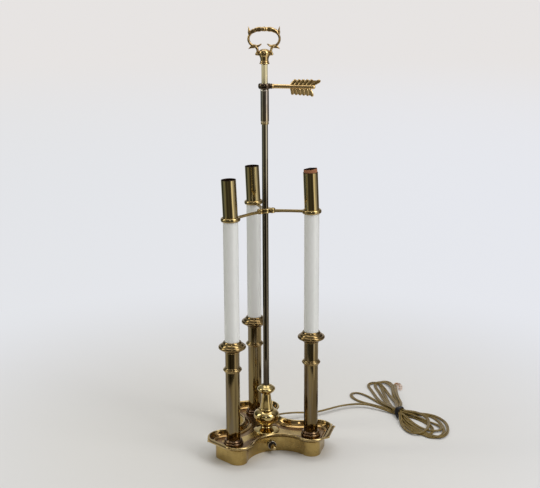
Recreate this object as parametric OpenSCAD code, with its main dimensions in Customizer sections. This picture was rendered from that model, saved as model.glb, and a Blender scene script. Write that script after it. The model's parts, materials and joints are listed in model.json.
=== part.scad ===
// Three-candle bouillotte lamp: trefoil tray base, three candle columns round a
// centre rod, an arrow-screw shade clamp that slides and turns on the rod, and a
// scroll handle. Millimetres, +Z up, origin on the lamp's axis at the table.

/* [Base tray] */
// Distance from the axis to a lobe's end wall
lobe_reach = 103; // [100:1:124]
// Half the width of a lobe
lobe_half = 40.5; // [38:0.5:48]
// Radius of a lobe's rounded corners
lobe_corner = 25.5; // [20:0.5:30]
// Distance from the axis to the middle of a hollow side
notch_floor = 38.6; // [36:0.2:46]
// How far the upright skirt stands in from the lobes' outline
skirt_in = 11; // [8:0.5:12]
// Thickness of the base's walls and of the tray floor
base_wall = 3; // [2.5:0.1:4]
// Height of the tray floor's upper face
floor_z = 25; // [24:0.5:29]
// Depth of the tray below the rim
tray_depth = 9; // [7:0.5:11]
// Thickness of the flat rim
rim_t = 3; // [2:0.2:4]
// How far the rim stands out over the walls
rim_over = 1.2; // [0.5:0.1:3]
// How far a lobe's straight rim end stands out over its wall
rim_end_over = 4.5; // [1.5:0.1:8]
// Length of a lobe's straight rim end
rim_end_w = 40; // [30:1:46]
// Thickness of the felt under the base
felt_t = 1.5; // [1:0.1:2]
// Thickness of the plate that closes the base
cover_t = 1; // [0.8:0.1:1.5]

/* [Candle columns] */
// Distance from the axis to each candle
candle_circle = 73; // [70:0.5:76]
// Outside diameter of the column tubes
column_d = 22.2; // [20:0.2:22.8]
// Wall of the column tubes
column_wall = 1.5; // [1:0.1:2]
// Height of the column tubes
column_h = 158; // [130:1:200]
// Height of the collar's middle above the tray floor
collar_up = 123; // [100:1:125]
// How far the collar's edge stands out from the column
collar_out = 3.4; // [2.2:0.1:5]
// How far the ring at a column's foot stands out from the column
foot_ring_out = 4.4; // [3.9:0.1:6]
// How far the candle cup's edge stands out from the candle
cup_out = 9.5; // [7.5:0.1:11.5]
// Outside diameter of the candles
candle_d = 23; // [22.4:0.2:24]
// Wall of the candles
candle_wall = 1.5; // [1:0.1:1.6]
// Height from a cup's edge to the candle bracket's rings
candle_up = 199; // [160:1:240]

/* [Sockets] */
// Inside diameter of the screw shell for an E12 bulb
shell_bore = 12.1; // [11.9:0.05:12.4]
// Depth of the screw shell
shell_depth = 13; // [11:0.5:16]
// Outside diameter of the socket bodies
socket_d = 18.6; // [17.6:0.1:18.8]
// Height of a socket above its bracket ring
socket_up = 50; // [44:1:60]
// Outside diameter of the brass socket covers
cover_d = 22.5; // [21.8:0.1:22.8]
// Wall of the socket covers
cover_wall = 0.6; // [0.4:0.1:0.7]
// Height of a cover above its bracket ring
cover_up = 60; // [52:1:72]
// Height of the liner that has crept out of the right cover
liner_creep = 6; // [2:0.5:9]
// Outside diameter of the threaded pipe in each column
pipe_d = 10.3; // [9.8:0.1:10.5]

/* [Rod, bracket and clamp] */
// Diameter of the centre rod
rod_d = 9.5; // [8:0.1:11]
// Height of rod between the bracket and the finial
rod_up = 222; // [190:1:268]
// Thickness of the bracket's hub
hub_t = 6.5; // [5:0.5:8]
// Diameter of the bracket's arms
arm_d = 4.4; // [3.5:0.1:5.5]
// Wall of the bracket's rings at their middle
ring_wall = 2.6; // [2.4:0.1:3.6]
// Height of the bracket's rings
ring_h = 6; // [5:0.1:7]
// Lean of the bracket and of the sockets it steers, in degrees
bracket_tilt = 2.2; // [0:0.1:2.6]
// Outside diameter of the clamp sleeve
sleeve_d = 12.8; // [12:0.1:15]
// Length of the clamp sleeve
sleeve_h = 52.5; // [40:0.5:65]
// Outside diameter of the clamp ring
clamp_d = 19.6; // [18:0.2:23]
// Height of the clamp ring
clamp_h = 8.8; // [8:0.2:11]
// Free rod between the clamp ring and the finial at rest
clamp_drop = 28; // [10:1:90]
// Direction in which the arrow points away from the rod, in degrees
arrow_turn = -30; // [-180:1:180]
// Distance from the axis to the end of the arrow's shaft
arrow_reach = 77; // [70:1:92]

/* [Switch and cord] */
// Height of the rotary switch above the table
switch_z = 11.3; // [10.5:0.1:13]
// Sideways place of the switch on the front wall
switch_x = 1; // [-4:0.5:4]
// Diameter of the switch knob
knob_d = 8.8; // [7:0.2:12]
// Width of the flat twin cord
cord_w = 5.4; // [5:0.1:6]

/* [Hidden] */

$fn = 64;
SIDES = ["left", "right", "rear"];
SIDE_TURN = [210, 330, 90];
bite = 1;                         // how far a cutting tool runs past a face
fit = 0.05;                       // radial clearance of a running or push fit
loose = 0.3;                      // clearance between pieces that only stand by each other
kiss = 0.02;                      // how far the hollow sides cut into the corners they touch

// Trefoil outline: lobe corners and hollow sides are circles that touch
corner_u = lobe_reach - lobe_corner;
corner_w = lobe_half - lobe_corner;
hollow_at = notch_floor * [cos(60), sin(60)] - [corner_u, corner_w];
notch_r = (hollow_at * hollow_at - lobe_corner * lobe_corner)
    / (2 * (lobe_corner - hollow_at * [cos(60), sin(60)]));
notch_u = (notch_floor + notch_r) * cos(60);
notch_w = (notch_floor + notch_r) * sin(60);

// Levels
rim_z = floor_z + tray_depth;
cavity_z = floor_z - base_wall;
ledge_z = felt_t + cover_t;
tray_in = min(skirt_in + base_wall / 2, lobe_reach - candle_circle - column_d / 2 - foot_ring_out - loose);
wall_in = skirt_in + base_wall;
cup_seat = 4;                     // from the column's top to the cup's edge
bracket_z = floor_z + column_h + cup_seat + candle_up;
rod_top = bracket_z + rod_up;
clamp_z = rod_top - clamp_drop - clamp_h / 2;
sleeve_top = clamp_z - clamp_h / 2 - loose;
tilt_axis = 75;                   // plan direction of the axis that the bracket leans about

// Radii that several pieces share
pipe_hole = pipe_d / 2 + 0.25;
pipe_bore = 3.3;
pipe_bottom = 11;
wire_r = 1.4;
wire_z = 8.5;
nut_r = 8;                        // over the corners
nut_h = 4;
washer_r = 8.5;
washer_t = 1;
ring_bore = max(candle_d / 2 + 0.4, cover_d / 2 + 0.5);
ring_r = ring_bore + ring_wall;
cup_bore = candle_d / 2 + loose;
cup_floor = 3;
cup_lip = 9;

// Arrow
arrow_r = 3.2;
arrow_tip_r = 2.6;
arrow_thread_r = 2;

// Finial
finial_r = 7.8;
tenon_r = 3;
tenon_h = 9;
handle_turn = -15;

// Cord: the route of the lead and the hank are measured from the cord's exit
cord_r = cord_w / 2;
exit_turn = 12;
exit_z = 12;
skirt_corner = lobe_corner - skirt_in;
exit_at = [corner_w + skirt_corner * cos(exit_turn), corner_u + skirt_corner * sin(exit_turn), exit_z];
flange_t = 2.5;
LEAD = [[10, 2.4, 12.1], [19, 5.2, 11.9], [29, 7.4, 11.3], [39, 8.8, 10.4], [50, 9.5, 9], [62, 9, 7.8],
        [76, 8.3, 6.9], [90, 11.3, 6.5], [104, 15.8, 6.5], [118, 20.3, 6.5], [132, 24.1, 6.5],
        [146, 25.8, 6.5], [160, 24.8, 6.5], [174, 19.8, 7], [185, 11.3, 7.5], [195, 0.8, 8]];
// Hank: outline of the two fans on either side of the tie
HANK_H = 17;
TIE_AT = [222, -27];
TIE_TURN = 20;
FAN_BACK = [[173, 69, 8], [228, 119, 7], [250, 120, 7]];
FAN_FRONT = [[216, -118, 8], [240, -136, 8], [272, -106, 8], [276, -66, 7], [260, -40, 7]];
waist_w = 22;
waist_l = 8;
waist_z = 2;
tie_t = 1.2;
tie_l = 5;
strand_r = 0.9;

// ---- helpers -----------------------------------------------------------

function turned(u, w, a) = [u * cos(a) - w * sin(a), u * sin(a) + w * cos(a)];
// Height that the bracket's lean adds at candle i
function lean_z(i) = candle_circle * cos(SIDE_TURN[i] + 90 - tilt_axis) * tan(bracket_tilt);
function cup_z(i) = floor_z + column_h + cup_seat + lean_z(i);
function ring_z(i) = bracket_z + lean_z(i);

module at_candle(i) rotate([0, 0, SIDE_TURN[i]]) translate([candle_circle, 0, 0]) children();

// Children are drawn round a bracket ring's centre, leaning with the bracket
module leaning(i)
    translate(concat(turned(candle_circle, 0, SIDE_TURN[i]), [ring_z(i)]))
        rotate(a = -bracket_tilt, v = [cos(tilt_axis), sin(tilt_axis), 0]) children();

module tube(r_out, r_in, h)
    difference() {
        cylinder(r = r_out, h = h);
        translate([0, 0, -bite]) cylinder(r = r_in, h = h + 2 * bite);
    }

module turned_profile(points) rotate_extrude($fn = 96) polygon(points);

// Base outline grown by d; the hollow sides shrink as the lobes grow
module outline(d) {
    touch = (lobe_corner + d) / (lobe_corner + notch_r);
    tu = corner_u + (notch_u - corner_u) * touch;
    tw = corner_w + (notch_w - corner_w) * touch;
    difference() {
        union() {
            polygon([for (a = [90, 210, 330], p = [[tu, -tw], [corner_u, -corner_w],
                [corner_u, corner_w], [tu, tw]]) turned(p[0], p[1], a)]);
            for (a = [90, 210, 330]) rotate(a) {
                for (s = [-1, 1]) translate([corner_u, s * corner_w]) circle(r = lobe_corner + d);
                translate([0, -corner_w]) square([lobe_reach + d, 2 * corner_w]);
            }
        }
        for (a = [30, 150, 270]) rotate(a)
            translate([notch_floor + notch_r, 0]) circle(r = notch_r - d + kiss);
    }
}

module slab(z0, z1, d) translate([0, 0, z0]) linear_extrude(z1 - z0) outline(d);

// ---- base --------------------------------------------------------------

// Radial hole through the front wall, for the switch
module switch_axis() translate([switch_x, 0, switch_z]) rotate([90, 0, 0]) children();

module exit_axis()
    translate(exit_at) rotate([0, 0, exit_turn]) rotate([0, 90, 0]) children();

step_z = [floor_z + tray_depth * 0.3, floor_z + tray_depth * 0.65];

module base_shell() color("darkkhaki")
    difference() {
        union() {
            // upright skirt, and the pan that flares out from its top
            slab(0, floor_z + bite, -skirt_in);
            slab(step_z[0] - base_wall, rim_z - rim_t / 2, -3.5);
            slab(step_z[1] - base_wall, rim_z - rim_t / 2, 0);
            translate([0, 0, rim_z - rim_t]) linear_extrude(rim_t) {
                outline(rim_over);
                for (a = SIDE_TURN) rotate(a) translate([lobe_reach - 10, -rim_end_w / 2])
                    square([10 + rim_end_over, rim_end_w]);
            }
        }
        // tray: a floor panel and two steps up to the rim
        slab(floor_z, rim_z + bite, -tray_in);
        slab(step_z[0], rim_z + bite, -6.5);
        slab(step_z[1], rim_z + bite, -3.5);
        // hollow underside, with a ledge for the cover plate
        slab(-bite, ledge_z, -wall_in + 1.2);
        slab(ledge_z - bite, cavity_z, -wall_in);
        for (i = [0:2]) at_candle(i) cylinder(r = pipe_hole, h = rim_z);
        cylinder(r = rod_d / 2 + fit, h = rim_z);
        switch_axis() cylinder(r = neck_r + fit, h = lobe_reach);
        exit_axis() cylinder(r = bushing_r + fit, h = 30, center = true);
    }

module bottom_cover() color("dimgray") slab(felt_t, ledge_z, -wall_in + 1);

module felt_pad() color("darkgreen") slab(0, felt_t, -wall_in + 1);

// ---- centre rod --------------------------------------------------------

module rod_foot() color("gold")
    translate([0, 0, floor_z]) difference() {
        turned_profile([[0, 0], [20.7, 0], [20.7, 1.2], [20, 2.4], [17, 3.6], [12.5, 4.8], [9.4, 6.3],
            [8.3, 8], [8.7, 9.6], [12, 12], [16.6, 16], [19.4, 20.5], [20.4, 25.5], [19.6, 29.5],
            [17.2, 32.8], [13.8, 35], [11.6, 36], [12, 37.4], [11.2, 38.6], [10.4, 41], [8.8, 48],
            [7.5, 56], [6.8, 63], [8.4, 64.4], [12, 67.4], [14.2, 70.8], [13.6, 72.8], [10.4, 75.6],
            [7.6, 77.4], [6, 78.4], [0, 78.4]]);
        translate([0, 0, -bite]) cylinder(r = rod_d / 2 + fit, h = 90);
    }

rod_bottom = 11;

module centre_rod() color("goldenrod") {
    translate([0, 0, rod_bottom]) cylinder(d = rod_d, h = rod_top - rod_bottom);
    cylinder_at(rod_top, tenon_r, tenon_h);
}

module cylinder_at(z, r, h) translate([0, 0, z]) cylinder(r = r, h = h);

module hex_nut(hole, h) difference() {
    cylinder(r = nut_r, h = h, $fn = 6);
    translate([0, 0, -bite]) cylinder(r = hole, h = h + 2 * bite);
}

module rod_nut() color("silver")
    translate([0, 0, cavity_z - washer_t - nut_h]) hex_nut(rod_d / 2 + fit, nut_h);

module lock_nuts() color("silver")
    for (i = [0:2]) at_candle(i) {
        translate([0, 0, cavity_z - washer_t - nut_h]) hex_nut(pipe_d / 2 + fit, nut_h);
        translate([0, 0, cup_z(i)]) hex_nut(pipe_d / 2 + fit, nut_h);
    }

module lock_washers() color("silver") {
    for (i = [0:2]) at_candle(i)
        translate([0, 0, cavity_z - washer_t]) tube(washer_r, pipe_d / 2 + fit, washer_t);
    translate([0, 0, cavity_z - washer_t]) tube(washer_r, rod_d / 2 + fit, washer_t);
}

// ---- candle columns ----------------------------------------------------

column_r = column_d / 2;

module foot_ring(i) color("saddlebrown")
    at_candle(i) translate([0, 0, floor_z]) {
        r = column_r + foot_ring_out;
        b = column_r + fit;
        turned_profile([[b, 0], [r - 0.8, 0], [r, 1], [r, 2.6], [r - 0.7, 3.8], [r - 1.9, 4.3],
            [r - 1.7, 5.2], [r - 1.8, 6.4], [r - 2.5, 7.4], [r - 3.6, 8], [b, 8]]);
    }

module column_tube(i) color("darkgoldenrod")
    at_candle(i) translate([0, 0, floor_z])
        tube(column_r, column_r - column_wall, cup_z(i) - cup_seat - floor_z);

module column_collar(i) color("goldenrod")
    at_candle(i) translate([0, 0, floor_z + collar_up]) {
        r = column_r + collar_out;
        b = column_r + fit;
        turned_profile([[b, -3.8], [b + 0.9, -3.8], [b + 1.5, -2.6], [r - 0.5, -0.9], [r, 0],
            [r - 0.4, 0.8], [b + 1.6, 2.3], [b + 1, 3.8], [b, 3.8]]);
    }

module candle_cup(i) color("goldenrod")
    at_candle(i) translate([0, 0, cup_z(i)]) difference() {
        r = candle_d / 2 + cup_out;
        b = column_r;
        turned_profile([[0, -9], [b + 0.8, -9], [b + 1, -8.2], [b + 0.8, -6.8], [b + 2.5, -5.8],
            [(b + r) / 2 + 1.15, -4.4], [r - 1.4, -2.2], [r, -0.2], [r - 0.3, 1], [r - 2, 2.2],
            [r - 5, 4], [cup_bore + 2.1, 6.4], [cup_bore + 1.6, 8.2], [cup_bore + 1, cup_lip],
            [0, cup_lip]]);
        cylinder(r = cup_bore, h = cup_lip + bite);
        translate([0, 0, -9 - bite]) cylinder(r = column_r + fit, h = 9 + bite - cup_seat);
        translate([0, 0, -9]) cylinder(r = pipe_hole, h = 20);
    }

module candle_pipe(i) color("silver")
    at_candle(i) translate([0, 0, pipe_bottom])
        tube(pipe_d / 2, pipe_bore, ring_z(i) + 1 - pipe_bottom);

module candle_tube(i) color("white")
    at_candle(i) translate([0, 0, cup_z(i)])
        tube(candle_d / 2, candle_d / 2 - candle_wall, ring_z(i) - 0.3 - cup_z(i));

// ---- sockets -----------------------------------------------------------

liner_d = cover_d - 2 * cover_wall - 0.4;
liner_wall = 0.7;
socket_foot = 7;
shell_wall = 0.35;

module socket_body(i) color("dimgray")
    leaning(i) difference() {
        translate([0, 0, -socket_foot]) cylinder(d = socket_d, h = socket_foot + socket_up);
        translate([0, 0, -socket_foot - bite]) cylinder(r = pipe_d / 2 + 0.5, h = 9 + bite);
        cylinder(r = 4, h = socket_up - shell_depth - 6);
        translate([0, 0, socket_up - shell_depth - 3])
            cylinder(r = shell_bore / 2 + shell_wall + fit, h = shell_depth + 3 + bite);
    }

module socket_shell(i) color("gold")
    leaning(i) translate([0, 0, socket_up - shell_depth])
        tube(shell_bore / 2 + shell_wall, shell_bore / 2, shell_depth);

module socket_contacts() color("silver")
    for (i = [0:2]) leaning(i) translate([0, 0, socket_up - shell_depth - 3]) {
        cylinder(r = 3, h = 0.8);
        cylinder(r = 1.4, h = 2.6);
    }

module socket_cover(i) color("gold")
    leaning(i) translate([0, 0, 0.9]) tube(cover_d / 2, cover_d / 2 - cover_wall, cover_up - 0.9);

module socket_liner(i) color("sienna")
    leaning(i) {
        top = cover_up + (SIDES[i] == "right" ? liner_creep : -4);
        translate([0, 0, 2]) tube(liner_d / 2, liner_d / 2 - liner_wall, top - 2);
    }

// ---- bracket -----------------------------------------------------------

ear_at = 10.9;
ear_r = 3.7;
hub_r = 9;
screw_r = 1.5;
screw_turn = 30;

module tilted() translate([0, 0, bracket_z])
    rotate(a = -bracket_tilt, v = [cos(tilt_axis), sin(tilt_axis), 0]) children();

module ring_section() difference() {
    translate([ring_r - ring_h / 2, 0]) circle(d = ring_h);
    translate([0, -ring_h]) square([ring_bore, 2 * ring_h]);
}

module candle_bracket() color("goldenrod")
    tilted() difference() {
        union() {
            translate([0, 0, -hub_t / 2]) cylinder(r = hub_r, h = hub_t);
            for (a = SIDE_TURN) rotate([0, 0, a]) {
                translate([ear_at, 0, -hub_t / 2]) cylinder(r = ear_r, h = hub_t);
                translate([ear_at, 0, 0]) rotate([0, 90, 0])
                    cylinder(d = arm_d, h = candle_circle - ear_at - ring_bore - 0.4);
                translate([candle_circle, 0, 0]) rotate_extrude($fn = 96) ring_section();
            }
        }
        cylinder(r = rod_d / 2 + 0.25, h = 4 * hub_t, center = true);
        rotate([0, 0, screw_turn]) rotate([0, 90, 0]) cylinder(r = screw_r + fit, h = 20);
    }

module bracket_screw() color("silver")
    tilted() rotate([0, 0, screw_turn]) translate([rod_d / 2 + 0.26, 0, 0]) rotate([0, 90, 0])
        cylinder(r = screw_r, h = 5.5);

// ---- shade clamp -------------------------------------------------------

clamp_bore = rod_d / 2 + fit;
foot_band = 4.5;

module clamp_sleeve() color("darkgoldenrod")
    translate([0, 0, sleeve_top - sleeve_h]) difference() {
        union() {
            cylinder(d = sleeve_d - 1, h = foot_band);
            translate([0, 0, foot_band]) cylinder(d = sleeve_d, h = sleeve_h - foot_band);
        }
        translate([0, 0, -bite]) cylinder(r = clamp_bore, h = sleeve_h + 2 * bite);
    }

module clamp_ring() color("goldenrod")
    translate([0, 0, clamp_z]) rotate([0, 0, arrow_turn]) difference() {
        union() {
            rotate_extrude($fn = 96) difference() {
                translate([clamp_d / 2 - clamp_h / 2, 0]) circle(d = clamp_h);
                translate([clamp_bore - clamp_d, -clamp_h]) square([clamp_d, 2 * clamp_h]);
            }
            rotate([0, 90, 0]) cylinder(r = 3.9, h = clamp_d / 2 + 1.6);
        }
        cylinder(r = clamp_bore, h = 4 * clamp_h, center = true);
        rotate([0, 90, 0]) cylinder(r = arrow_thread_r + fit, h = clamp_d);
    }

// One feathered vane: barbs slope back from the shaft, with a scalloped edge
module vane(start, lead, height, pitch, count, tail) {
    edge = start + lead;
    linear_extrude(1.6, center = true)
        polygon(concat([[start, 0], [edge, height]],
            [for (k = [0:count - 1], p = [[0.5, 0.9], [0.95, 0]])
                [edge + (k + p[0]) * pitch, height + p[1]]],
            [[tail[0] - 2.6, tail[1] + 1.4], tail, [edge + (count - 1.2) * pitch, 0]]));
}

module arrow_screw() color("goldenrod")
    translate([0, 0, clamp_z]) rotate([0, 0, arrow_turn]) {
        base = clamp_d / 2 + 1.9;
        translate([rod_d / 2 + 0.1, 0, 0]) rotate([0, 90, 0])
            cylinder(r = arrow_thread_r, h = base - rod_d / 2);
        translate([base, 0, 0]) rotate([0, 90, 0])
            cylinder(r1 = arrow_r, r2 = arrow_tip_r, h = arrow_reach - base - arrow_tip_r);
        translate([arrow_reach - arrow_tip_r, 0, 0]) sphere(r = arrow_tip_r);
        translate([arrow_reach - 77, 0, 0]) {
            rotate([90, 0, 0]) vane(39.5, 6.5, 9, 5.9, 5, [85, 9.6]);
            rotate([-90, 0, 0]) vane(38.6, 1.4, 11.4, 5.4, 5, [73, 13.6]);
        }
    }

// ---- finial ------------------------------------------------------------

module finial_knob() color("gold")
    translate([0, 0, rod_top]) difference() {
        turned_profile(concat([[0, 0], [7.3, 0], [7.5, 1.2], [7.1, 2.4], [6.5, 4], [6.3, 6.2]],
            [for (a = [-55:10:85]) [finial_r * cos(a), 13.4 + finial_r * sin(a)]],
            [[0, 13.4 + finial_r]]));
        translate([0, 0, -bite]) cylinder(r = tenon_r + fit, h = tenon_h + 0.5 + bite);
        for (s = [0, 180]) rotate([0, 0, handle_turn + s]) translate([stub_in, 0, stub_z])
            rotate([0, 90, 0]) cylinder(r = stub_r + fit, h = finial_r);
    }

stub_in = 4.6;
stub_z = 14;
stub_r = 1.6;
loop_at = [12.6, 37];
loop_r = 10.7;
bar_r = 1.5;

// Flat arc of round bar, from one angle to another
module arc_bar(r, from, to) rotate([0, 0, from])
    rotate_extrude(angle = to - from, $fn = 96) translate([r, 0]) circle(r = bar_r);

module spike(from, to, r)
    translate(from) rotate([0, 0, atan2(to[1] - from[1], to[0] - from[0])]) rotate([0, 90, 0])
        cylinder(r1 = r, r2 = 0.4, h = norm(to - from));

module bar(from, to, r)
    translate(from) rotate([0, 0, atan2(to[1] - from[1], to[0] - from[0])]) rotate([0, 90, 0])
        cylinder(r = r, h = norm(to - from));

// Ball on the bars with its ends turned flat, lying along one direction of the handle's plane
module bead(x, y, r, along) translate([x, y]) rotate([0, 0, along]) rotate([0, 90, 0])
    rotate_extrude() intersection() {
        circle(r = r);
        translate([0, -0.95 * r]) square([r, 1.9 * r]);
    }

module finial_handle() color("gold")
    translate([0, 0, rod_top]) rotate([0, 0, handle_turn]) rotate([90, 0, 0]) {
        for (s = [0, 1]) mirror([s, 0, 0]) {
            translate(loop_at) arc_bar(loop_r, -142, 88);
            bead(11.4, stub_z, 2, -45);
            bar([stub_in + 0.2, stub_z], [11.4, stub_z], stub_r);
            bar([11.4, stub_z], [11.2, 26.2], 1.7);
            spike([13, 26], [24, 22], 1.9);
            spike([20.5, 45], [24, 55], 1.6);
            bar([13.2, 47.4], [3.2, 50.4], 2.1);
            bead(7.5, 50.6, 3.9, 0);
        }
        bar([-7.5, 50.4], [7.5, 50.4], 1.9);
        bead(0, 50.6, 4, 0);
    }

// ---- switch ------------------------------------------------------------

neck_r = 4.7;
shaft_r = 1.6;
switch_r = 6.5;
switch_depth = 14;
switch_back = notch_floor - wall_in - 0.9;
ring_nut_r = 7.2;
skirt_r = notch_r + skirt_in;
nut_seat = notch_floor + notch_r - sqrt(skirt_r * skirt_r - pow(abs(switch_x) + ring_nut_r, 2)) + 0.2;
nut_out = 3;

module switch_body() color("dimgray")
    switch_axis() difference() {
        union() {
            translate([0, 0, switch_back - switch_depth]) cylinder(r = switch_r, h = switch_depth);
            translate([0, 0, switch_back]) cylinder(r = neck_r, h = nut_seat + nut_out + 1 - switch_back);
        }
        translate([0, 0, switch_back - 8]) cylinder(r = shaft_r + fit, h = 40);
    }

module switch_nut() color("silver")
    switch_axis() translate([0, 0, nut_seat]) tube(ring_nut_r, neck_r + fit, nut_out);

module switch_shaft() color("silver")
    switch_axis() translate([0, 0, switch_back - 7.5])
        cylinder(r = shaft_r, h = nut_seat + 13 - switch_back + 7.5);

module switch_knob() color("gold")
    switch_axis() translate([0, 0, nut_seat + nut_out + 1.5]) difference() {
        union() {
            cylinder(d = knob_d - 1.6, h = 1.6);
            translate([0, 0, 1.6]) cylinder(d = knob_d, h = 5.6);
            translate([0, 0, 7.2]) cylinder(d1 = knob_d, d2 = knob_d - 2, h = 1.8);
        }
        translate([0, 0, -bite]) cylinder(r = shaft_r + 0.03, h = 8.5 + bite);
    }

// ---- wiring ------------------------------------------------------------

splice_r = 6;
splice_l = 16;
splice_y = 31;
splice_z = 9.4;

// Round wire through a list of points at about one level, with a drum at each corner
module wire(points, r, drums) {
    for (k = [0:len(points) - 2]) {
        step = points[k + 1] - points[k];
        translate(points[k]) rotate([0, acos(step[2] / norm(step)), atan2(step[1], step[0])])
            cylinder(r = r, h = norm(step), $fn = 24);
    }
    for (p = drums) translate(p) cylinder(r = 1.15 * r, h = 2.4 * r, center = true, $fn = 24);
}

module wire_splice() color("ivory")
    translate([0, splice_y, splice_z]) rotate([90, 0, 0]) cylinder(r = splice_r, h = splice_l);

module candle_wires() color("black")
    for (i = [0:2]) {
        start = [[-4.2, splice_y - splice_l - 1.1], [4.2, splice_y - splice_l - 1.1], [0, splice_y]][i];
        foot = turned(candle_circle, 0, SIDE_TURN[i]);
        wire([concat(start, [wire_z]), concat(foot, [wire_z])], wire_r, []);
        translate(concat(foot, [wire_z - 1.2 * wire_r]))
            cylinder(r = 1.15 * wire_r, h = ring_z(i) + 12 - wire_z, $fn = 24);
    }

module switch_leads() color("black")
    for (s = [-1, 1]) translate([switch_x + s * 1.3, -switch_back + switch_depth, 5.6])
        rotate([-90, 0, 0])
            cylinder(r = 0.9, h = splice_y - splice_l + switch_back - switch_depth, $fn = 24);

bushing_r = 4.4;
cord_hole = cord_r + 0.15;
catch_r = 5.4;                    // the bushing's catch inside the rounded wall
catch_at = sqrt(pow(skirt_corner - base_wall, 2) - catch_r * catch_r) - skirt_corner - 0.05;

module supply_wire() color("black") {
    dir = [cos(exit_turn), sin(exit_turn), 0];
    inside = exit_at - 12 * dir;
    end = [0, splice_y + 6, 13];
    turns = [inside, [0.45 * inside[0], (inside[1] + end[1]) / 2, 13], end];
    wire(concat([exit_at + flange_t * dir], turns, [[0, splice_y, 13]]), 2, turns);
}

module cord_bushing() color("black")
    exit_axis() difference() {
        union() {
            translate([0, 0, catch_at - 1]) cylinder(r = bushing_r, h = flange_t + 1 - catch_at);
            translate([0, 0, 0.1]) cylinder(r = 5.8, h = flange_t - 0.1);
            translate([0, 0, catch_at - 1.6]) cylinder(r = catch_r, h = 1.6);
        }
        translate([0, 0, -10]) cylinder(r = cord_hole, h = 20);
    }

// ---- cord --------------------------------------------------------------

CORD_SIDES = 8;

// Ring of points round p, square to the direction d
function ring_at(p, d) =
    let (s = [d[1], -d[0], 0] / norm([d[1], -d[0], 0]), u = cross(s, d))
    [for (k = [0:CORD_SIDES - 1]) let (a = 360 * (k + 0.5) / CORD_SIDES)
        p + cord_r * (cos(a) * s + sin(a) * u)];

function heading(pts, k) =
    let (a = pts[max(k - 1, 0)], b = pts[min(k + 1, len(pts) - 1)]) (b - a) / norm(b - a);

// Children are drawn from the cord's exit, with heights above the table
module from_exit() translate([exit_at[0], exit_at[1], 0]) children();

module cord_lead() color("olive") from_exit() {
    dir = [cos(exit_turn), sin(exit_turn), 0];
    route = concat([[0, 0, exit_z] + (flange_t + 0.02) * dir], LEAD);
    n = len(route);
    m = CORD_SIDES;
    rings = [for (k = [0:n - 1]) each ring_at(route[k], k == 0 ? dir : heading(route, k))];
    polyhedron(points = rings, faces = concat(
        [[for (k = [0:m - 1]) k]],
        [for (k = [0:n - 2], j = [0:m - 1])
            [k * m + j, (k + 1) * m + j, (k + 1) * m + (j + 1) % m, k * m + (j + 1) % m]],
        [[for (k = [m - 1:-1:0]) (n - 1) * m + k]]));
}

module fan(tips) linear_extrude(HANK_H) hull() {
    translate(TIE_AT) circle(r = waist_w / 2 - 2, $fn = 32);
    for (t = tips) translate([t[0], t[1]]) circle(r = t[2], $fn = 32);
}

module waist(w, z0, z1, l) translate(concat(TIE_AT, [z0])) rotate([0, 0, TIE_TURN])
    translate([-w / 2, -l / 2, 0]) cube([w, l, z1 - z0]);

// Slot that lets the lead in, ending on a flat square to it
module lead_slot() {
    p = LEAD[len(LEAD) - 1];
    d = heading(LEAD, len(LEAD) - 1);
    translate([p[0], p[1], -bite]) rotate([0, 0, atan2(d[1], d[0])])
        translate([-60.02, -cord_w, 0]) cube([60, 2 * cord_w, HANK_H + 2 * bite]);
}

module cord_hank() color("olive") from_exit() {
    difference() {
        union() {
            fan(FAN_BACK);
            fan(FAN_FRONT);
        }
        waist(4 * waist_w, -bite, HANK_H + bite, waist_l);
        lead_slot();
        strand_line() translate([0, 0, -bite]) cylinder(r = strand_r + fit, h = 42);
    }
    waist(waist_w, waist_z, HANK_H - 2, waist_l + 2);
}

module cord_tie() color("black") from_exit()
    difference() {
        waist(waist_w + 2 * tie_t, waist_z - tie_t, HANK_H - 2 + tie_t, tie_l);
        waist(waist_w, waist_z, HANK_H - 2, tie_l + 2);
    }

// Lines along the two bare conductor ends that stick out of the hank's side
module strand_line()
    for (k = [0:1]) translate([247, 102 - 7 * k, 5 + 3 * k]) rotate([0, 90, -58 - 14 * k]) children();

module cord_strands() color("peru") from_exit()
    strand_line() cylinder(r = strand_r, h = 38);

// ---- assembly ----------------------------------------------------------

base_shell();
bottom_cover();
felt_pad();
rod_foot();
centre_rod();
rod_nut();
lock_nuts();
lock_washers();
switch_body();
switch_nut();
switch_shaft();
switch_knob();
switch_leads();
wire_splice();
supply_wire();
candle_wires();
cord_bushing();
candle_bracket();
bracket_screw();
clamp_sleeve();
clamp_ring();
arrow_screw();
finial_knob();
finial_handle();
cord_lead();
cord_hank();
cord_tie();
cord_strands();
socket_contacts();
for (i = [0:2]) {
    foot_ring(i);
    column_tube(i);
    column_collar(i);
    candle_cup(i);
    candle_pipe(i);
    candle_tube(i);
    socket_body(i);
    socket_shell(i);
    socket_cover(i);
    socket_liner(i);
}
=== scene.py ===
"""Looks of a three-candle bouillotte lamp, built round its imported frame.

Shapes are written in millimetres and become metres in piece(). Positions are the frame's own.
"""

import json
import math

import bmesh
import bpy
import numpy as np
from mathutils import Matrix, Vector


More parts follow.
